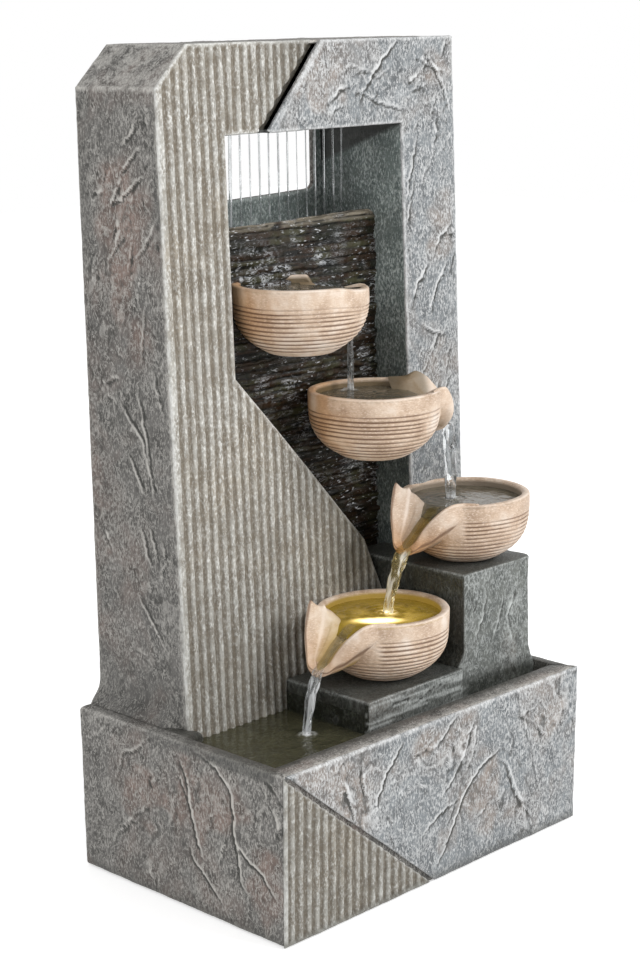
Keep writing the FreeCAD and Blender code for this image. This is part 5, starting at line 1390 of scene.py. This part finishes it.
# %% The leaves
def make_leaf(number):
    leaf = through(leaf_stations(), 70)
    leaf = through(np.moveaxis(leaf, 1, 0), LEAF_ROUND, closed=True)
    out, near, up = axes(leaf)
    mark, inner = (through(knots, LEAF_ROUND, closed=True)[:, None] for knots in (LEAF_MARKS, LEAF_INNER))
    if LEAF_CROWN[number] == 1.0:
        for tip_out, tip_near, tall, wide in HORNS:
            away = np.hypot(out - tip_out, near - tip_near)
            up = up + tall * np.clip(1 - away / wide, 0, 1) ** 1.5 * smooth(up, -10, 0)
    up = np.where(up > 0, LEAF_CROWN[number] * up, up)
    if number == 1:
        lower = 9 * smooth(out, 46, 62) + 7 * smooth(-near, 0, 22)
        up = up - (lower + sunk(number, out, near)) * smooth(up, -40, -10)
        near = np.where(near < 0, 0.6 * near, near)
    bulge = 1 + (0.2 - 0.5 * ((up + 18) / 32) ** 2) * (number == 2)
    out = reached(number, out, bulge)
    folds = np.sin(np.linspace(0, 1, LEAF_ROUND)[:, None] * 2 * math.pi * 13 + 0.8 * np.sin(out / 9))
    petal = smooth(mark, 0.9, 0.3) * smooth(out, 50, 62) * (number != 2)
    near = near * (1 + 0.02 * folds * petal)
    points = placed(number, out, near, up)
    wet = smooth(mark, 0.15, 0.0) * smooth(near, 30, 20) * (up > -47)
    inner = np.clip(inner, 0, 1) * smooth(-near, 0, 6) * (up > -40)
    if number < 3:
        inner = np.maximum(inner, smooth(-near, 2, 14) * smooth(out, 84, 72))
    wet = np.maximum(wet, (1.15 if number < 3 else 0.7) * inner)
    ridge = 0.85 * smooth(mark, 0.925, 0.97) * smooth(out, 48, 60) * (1 - 0.7 * wet)
    marks = dict(groove=0.75 * smooth(folds, -0.1, -0.9) * petal * (1 - wet), relief=rough(points, 12, 3, 4),
                 lit=0.8 * wet, ridge=ridge, amber=amber(number, points, up))
    piece(f"bowl_{number}_leaf", bowl_finish(number), [(points, marks)])


for bowl_number in BOWLS:
    make_thrown(bowl_number)
    make_leaf(bowl_number)


# %% [markdown]
# ## The water
# Water has no colour of its own here: what shows is the clay or slate under it, the white surround in its
# ripples, and the bubbles where a stream lands. So it is a clear skin with a refractive index of 1.33, and
# its shape does the work. Near the lamps it is tinted gold, as painted lamp light. In the lowest bowl a lamp
# stands under the water, and a painted gold glow in the water stands for its light.

# %% Water finishes
def fresh_water(name, tint, clear, hot=0.0):
    """Fresh water: IOR 1.33, nearly mirror smooth, white only where the foam mark says that it is broken.

    clear is how much light passes; the last argument is the strength of a painted glow, the lamp's light in
    the water, where its mark is 1.
    """
    material, add, place = new_material(name)
    foam = add("Attribute", attribute_name="foam")
    swell = add("TexNoise", Vector=place, Scale=per(11), Detail=2, Distortion=0.8)
    deep = add("Mix", Factor=add("MapRange", swell, 0.35, 0.65, 0.7), A="000000", B=tint, data_type="RGBA")
    body = add("Mix", Factor=foam, A=deep, B="eef0f2", data_type="RGBA")
    passing = add("MapRange", foam, 0, 1, clear, 0.25 * clear)
    bump = add("Bump", Strength=0.5, Distance=0.002, Height=swell)
    glow = {}
    if hot:
        mark = add("Attribute", attribute_name="hot")
        glow["Emission_Color"] = add("Mix", Factor=mark, A="c9a032", B="fff0b4", data_type="RGBA")
        glow["Emission_Strength"] = add("Math", mark, hot, operation="MULTIPLY")
    skin = add("BsdfPrincipled", Base_Color=body, Roughness=0.04, IOR=1.333, Normal=bump,
               Transmission_Weight=passing, **glow)
    add("OutputMaterial", Surface=skin)
    return material


stream_water = fresh_water("water_running", "f4f7f8", 0.96)
# Painted lamp light: water by the lamps is tinted gold, and over the lowest lamp it also gives off a painted
# glow.
lamp_tinted_water = fresh_water("water_running_by_lamp", "f0dc9c", 0.9)
pool_water = fresh_water("water_still", "88866a", 0.75)
bowl_water = fresh_water("water_in_bowl", "a39a86", 0.7)
lamp_glow_water = fresh_water("water_over_lamp", "8f7b2a", 0.25, hot=2.2)

# %% [markdown]
# A sheet of water is a ring drawn in to its middle. Round the place where a stream lands the height is
# cos(2 pi d / 9) exp(-d / 20), which is a ripple every 9 mm, and in the middle of it noise heaps up the foam.

# %% Pool and bowls of water
CHANNEL = np.array([(42, 0, -10.4), (50, 0, -12.6), (58, 0, -18.0), (69, 0, -25.0), (80, 0, -34.5),
                    (91, 0, -42.5), (98, 1, -46.5)])
POOL_LEVEL = 160.5
BOWL_LEVEL = -9.0
BRIM = 61.8


def rippled(points, land, high, strong=1.0):
    """Adds the ripples and the foam round a landing place, and returns the points with the foam mark."""
    away = np.hypot(points[..., 0] - land[0], points[..., 1] - land[1])
    foam = strong * smooth(away, 13, 3) * smooth(rough(points, 4, 2, 31), 0.35, 0.6)
    lift = 0.5 * np.cos(2 * math.pi * away / 9) * np.exp(-away / 20) + 2.6 * foam * noise(points, 3, 33)
    swell = 0.5 * (rough(points, 17, 2, 35) - 0.5)
    points[..., 2] = high + strong * lift + swell
    return points, foam


def make_pool():
    pool = tub_rings()[1]
    pool = np.concatenate([pool, pool[:1]])
    middle = BASIN_MIDDLE[:2]
    flat = middle + np.linspace(0, 1.004, 75)[:, None, None] * (pool - middle)
    points, foam = rippled(at(flat[..., 0], flat[..., 1], POOL_LEVEL), (126.0, 97.0), POOL_LEVEL)
    piece("pool_water", pool_water, [(points, dict(foam=foam))], facing=UPWARDS, wall=2.0)


LANDINGS = {2: (290.0, 190.0), 3: (368.0, 115.0), 4: (252.0, 103.0)}


def make_bowl_water(number):
    x, y, rim = BOWLS[number][:3]
    angle, radius = np.meshgrid(np.radians(np.linspace(0, 360, 121)), np.linspace(0, BRIM, 42))
    out, near = radius * np.cos(angle), radius * np.sin(angle)
    points = placed(number, out, near, BOWL_LEVEL)
    points, foam = rippled(points, LANDINGS.get(number, (x - 20, y + 25)), rim + BOWL_LEVEL)
    beside = smooth(np.abs(near - 2), 26, 8) * smooth(out, 38, 46)
    channel = np.interp(out, CHANNEL[:, 0], CHANNEL[:, 2]) + 1.2
    points[..., 2] += beside * np.minimum(channel - BOWL_LEVEL, 0)
    marks = dict(foam=foam)
    if number == 4:
        # Painted glow: the lamp's light in the lowest bowl's water, strongest beside the lamp.
        from_lamp = points[..., :2] - (225, 91)
        beside_lamp = np.hypot((from_lamp[..., 0] - from_lamp[..., 1]) / 33, from_lamp.sum(axis=-1) / 14)
        spread_out = np.hypot(points[..., 0] - 236, points[..., 1] - 90)
        gleam = smooth(rough(points, 9, 3, 41), 0.3, 0.7)
        hot = smooth(beside_lamp, 1.5, 0.4) + 0.16 * smooth(spread_out, 80, 10) * (0.5 + gleam)
        marks["hot"] = np.clip(hot + 0.7 * foam, 0.05, 1)
    piece(f"bowl_{number}_water", lamp_glow_water if number == 4 else bowl_water, [(points, marks)],
          facing=UPWARDS, wall=1.5)


make_pool()
for bowl_number in BOWLS:
    make_bowl_water(bowl_number)


# %% [markdown]
# A stream is a flat tube along a path: down the leaf's channel, over its mouth, then along a falling curve.
# From the mouth on, the drop grows as 0.4 s + 0.6 s^2, because the water leaves the lip already moving down.
# Lobes that turn slowly round the tube give the long bright folds of falling water.

# %% The four streams
FALLS = {1: (95, -125.0, 5.0, 3.6, 3.2), 2: (92, -129.0, 7.0, 8.0, 4.4), 3: (123, -108.0, 9.0, 7.0, 5.0),
         4: (116, -108.0, 6.5, 5.6, 4.4)}


def make_stream(number):
    land_out, land_up, first, middle, last = FALLS[number]
    bed = through(CHANNEL, 34)
    bed[:, 0] = reached(number, bed[:, 0])
    fall = np.linspace(0, 1, 60)[1:]
    mouth = bed[-1]
    land_up = land_up - 2
    drop = 0.4 * fall + 0.6 * fall ** 2
    down = np.column_stack([mouth[0] + fall * (land_out - mouth[0]), np.full(len(fall), mouth[1]),
                            mouth[2] + drop * (land_up - mouth[2])])
    path = np.concatenate([bed, down])
    tangent = np.gradient(path, axis=0)
    tangent /= np.linalg.norm(tangent, axis=1, keepdims=True)
    along = np.concatenate([np.linspace(-1, 0, len(bed)), fall])
    wide = np.interp(along, [-1, -0.4, 0, 0.5, 1], [8, 8, first, middle, last])
    thick = np.interp(along, [-1, -0.2, 0.12, 1], [1.3, 1.5, 0.5 * first, 0.75 * last])
    thick = thick * np.where(along > 0, 1 + 0.6 * (number == 2), 1)
    angle, row = np.meshgrid(np.linspace(0, 2 * math.pi, 41), np.arange(len(path)))
    along = along[row]
    run = along * 60
    lobes = 0.16 * np.cos(3 * angle + run / 9) + 0.1 * np.cos(5 * angle - run / 5)
    rings = at(12 * np.cos(angle), 12 * np.sin(angle), run) + 80 * number
    size = 1 + (lobes + 0.5 * (rough(rings, 10, 3, 44) - 0.5)) * smooth(along, -0.1, 0.15)
    size = size * smooth(row, 0, 3) ** 0.5 * smooth(len(path) - 1 - row, 0, 1)
    over = thick[row] * size * np.sin(angle)
    out = path[row, 0] - over * tangent[row, 2]
    up = path[row, 2] + over * tangent[row, 0]
    near = path[row, 1] + wide[row] * size * np.cos(angle)
    foam = smooth(rough(rings * (1, 1, 0.35), 5, 3, 46), 0.5, 0.68) * smooth(along, -0.2, 0.2)
    foam = np.maximum((1.0 if number == 2 else 0.75) * foam, smooth(along, 0.9, 1.0))
    # The third stream takes the gold tint of painted lamp light.
    piece(f"stream_{number}", lamp_tinted_water if number == 3 else stream_water,
          [(placed(number, out, near, up), dict(foam=foam))])


for bowl_number in BOWLS:
    make_stream(bowl_number)


# %% [markdown]
# The rain bar lets thirteen threads fall from the window's top onto the crest of the wall. Each is a thin
# round tube with a slow swell, the first sign of its breaking into drops.

# %% The rain
THREADS = 13
THREAD_FIRST, THREAD_STEP = 179.0, 13.5
BAR_UNDER = 750.5
THREAD_Y = 245.0


def make_rain():
    chance = np.random.default_rng(3)
    last = 49
    angle, row = np.meshgrid(np.linspace(0, 2 * math.pi, 9), np.arange(last + 1))
    height = np.interp(row, [0, last], [BAR_UNDER, CREST - 6])
    grids = []
    for number in range(THREADS):
        thick = chance.uniform(0.45, 1.15) if number else 1.7
        phase = chance.uniform(0, 6)
        radius = thick * (1 + 0.06 * np.sin(height / 5.1 + phase) + 0.03 * np.sin(height / 1.9))
        radius = radius * smooth(row, 0, 2) * smooth(last - row, 0, 1)
        centre = THREAD_FIRST + THREAD_STEP * number + chance.normal(0, 0.8) * (BAR_UNDER - height) / 100
        points = at(centre + radius * np.cos(angle), THREAD_Y + radius * np.sin(angle), height)
        # White spots along each thread: painted highlights on its beads.
        grids.append((points, dict(foam=0.4 * smooth(noise(points, 14, 4), 0.5, 0.75))))
    piece("rain_threads", stream_water, grids)


make_rain()

# %% [markdown]
# ## The parts behind and inside
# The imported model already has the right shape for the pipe, pump, lamps, door and plug, so these keep their
# meshes and only get finishes. Each finish starts from how such a part is made.

# %% Finishes for the fittings
def dress(material, *names):
    """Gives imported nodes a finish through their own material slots."""
    for name in names:
        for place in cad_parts[name].material_slots:
            place.material = material
    print(material.name, "on", len(names), "nodes")


def moulded(name, body, roughness, texture, depth, drift="000000", mottle=0.12, metal=0.0, coat=0.0):
    """A moulded or cast finish: a slow drift of colour, a textured skin `texture` mm wide, and its bump."""
    material, add, place = new_material(name)
    slow = add("TexNoise", Vector=place, Scale=per(24), Detail=3)
    part = add("MapRange", slow, 0.4, 0.7, 0, mottle)
    paint = add("Mix", Factor=part, A=body, B=drift, data_type="RGBA")
    skin = add("TexNoise", Vector=place, Scale=per(texture), Detail=4)
    gloss = add("MapRange", skin, 0, 1, roughness - 0.1, roughness + 0.1)
    bump = add("Bump", Strength=0.4, Distance=depth, Height=skin)
    shader = add("BsdfPrincipled", Base_Color=paint, Metallic=metal, Roughness=gloss, Coat_Weight=coat,
                 Normal=bump)
    add("OutputMaterial", Surface=shader)
    return material


# Injection moulded ABS, spark-eroded mould: matt black with a fine even grain.
pump_plastic = moulded("abs_black_textured", "1d1e20", 0.48, 1.2, 0.0002, "2c2d30")
# Extruded PVC pipe, grey and slightly waxy, with the faint lines of the die.
pipe_plastic = moulded("pvc_grey_extruded", "5b5f61", 0.36, 3.0, 0.0001, "474b4d")
# Glass-filled polypropylene door, painted to match the stone; a coarse leathery mould grain.
door_plastic = moulded("polypropylene_grey_grained", "6b6a66", 0.62, 2.4, 0.0005, "4c4a46", 0.4)
# Nitrile rubber, compression moulded: near black, dull, with a little bloom.
soft_rubber = moulded("nitrile_rubber_moulded", "222222", 0.72, 1.6, 0.0002, "3a3936", 0.3)
# Sintered ferrite magnet: dark grey, slightly sparkling and dense.
rotor_ferrite = moulded("ferrite_sintered", "3a3a3c", 0.5, 0.9, 0.0001, "28282a", 0.4, metal=0.25)
# Alumina ceramic shaft, ground and polished: ivory white with a clean gloss.
shaft_ceramic = moulded("alumina_polished", "ece8de", 0.16, 1.0, 0.00003, "dcd6c6", 0.2, coat=0.3)
# Open polyurethane foam: black cells about 1.5 mm wide, so the bump is deep for its size.
filter_foam = moulded("polyurethane_foam_open", "17181a", 0.85, 1.5, 0.0012, "05050a", 0.7)
# Die cast lamp can, grey anodised: a soft satin metal.
lamp_can = moulded("aluminium_cast_anodised", "6f7274", 0.38, 1.0, 0.00008, "595c5e", 0.25, metal=0.9)

# %% [markdown]
# Three kinds of part aren't moulded. Rolled steel has fine lines along its rolling, the hose lets light
# through, and the lens gives light itself, so each has a small tree of its own.

# %% Steel, hose and lens
def rolled_steel():
    """Stainless steel strip and wire, cold rolled: bright metal with fine lines along the rolling."""
    material, add, place = new_material("stainless_cold_rolled")
    drawn = add("Mapping", Vector=place, Scale=(0.05, 1, 1))
    lines = add("TexNoise", Vector=drawn, Scale=per(0.8), Detail=3)
    tone = add("Mix", Factor=lines, A="9a9b9c", B="c6c7c8", data_type="RGBA")
    gloss = add("MapRange", lines, 0, 1, 0.2, 0.42)
    bump = add("Bump", Strength=0.2, Distance=0.0001, Height=lines)
    shader = add("BsdfPrincipled", Base_Color=tone, Metallic=1, Roughness=gloss, Normal=bump)
    add("OutputMaterial", Surface=shader)
    return material


def clear_vinyl():
    """Plasticised PVC tube, extruded clear: it passes about half the light and has a greenish cast."""
    material, add, place = new_material("vinyl_clear_extruded")
    haze = add("TexNoise", Vector=place, Scale=per(14), Detail=3)
    tone = add("Mix", Factor=haze, A="b9c4bb", B="dfe6df", data_type="RGBA")
    gloss = add("MapRange", haze, 0, 1, 0.12, 0.3)
    shader = add("BsdfPrincipled", Base_Color=tone, IOR=1.53, Roughness=gloss, Transmission_Weight=0.5)
    add("OutputMaterial", Surface=shader)
    return material


def frosted_lens(strength):
    """Polycarbonate lens, moulded and lit from behind by a warm lamp: bright in the middle, frosted."""
    material, add, place = new_material("polycarbonate_frosted_lit")
    frost = add("TexNoise", Vector=place, Scale=per(1.2), Detail=2)
    glow = add("MapRange", frost, 0, 1, 0.8 * strength, 1.2 * strength)
    bump = add("Bump", Strength=0.4, Distance=0.0002, Height=frost)
    shader = add("BsdfPrincipled", Base_Color="f4e3b8", Roughness=0.35, Emission_Color="ffc860",
                 Emission_Strength=glow, Normal=bump)
    add("OutputMaterial", Surface=shader)
    return material


dress(pipe_plastic, "upper_tray", "rain_bar", "rain_bar_cap", "rain_bar_clips")
dress(pump_plastic, "pump_housing", "volute_cover", "intake_grille", "flow_dial")
dress(door_plastic, "service_door", "door_knob", "latch_cam")
dress(soft_rubber, "suction_feet", "cable_grommet", "drain_plug")
dress(rotor_ferrite, "pump_rotor")
dress(shaft_ceramic, "pump_shaft")
dress(filter_foam, "filter_sponge")
dress(rolled_steel(), "clip_screws", "hose_clamps", "door_pivot_pins")
dress(clear_vinyl(), "riser_hose")
dress(lamp_can, "light_case_wall_high", "light_case_wall_low", "light_case_bottom")
dress(frosted_lens(4.0), "light_lens_wall_high", "light_lens_wall_low", "light_lens_bottom")

# %% [markdown]
# ## Finish

# %% Finish
bpy.context.view_layer.update()
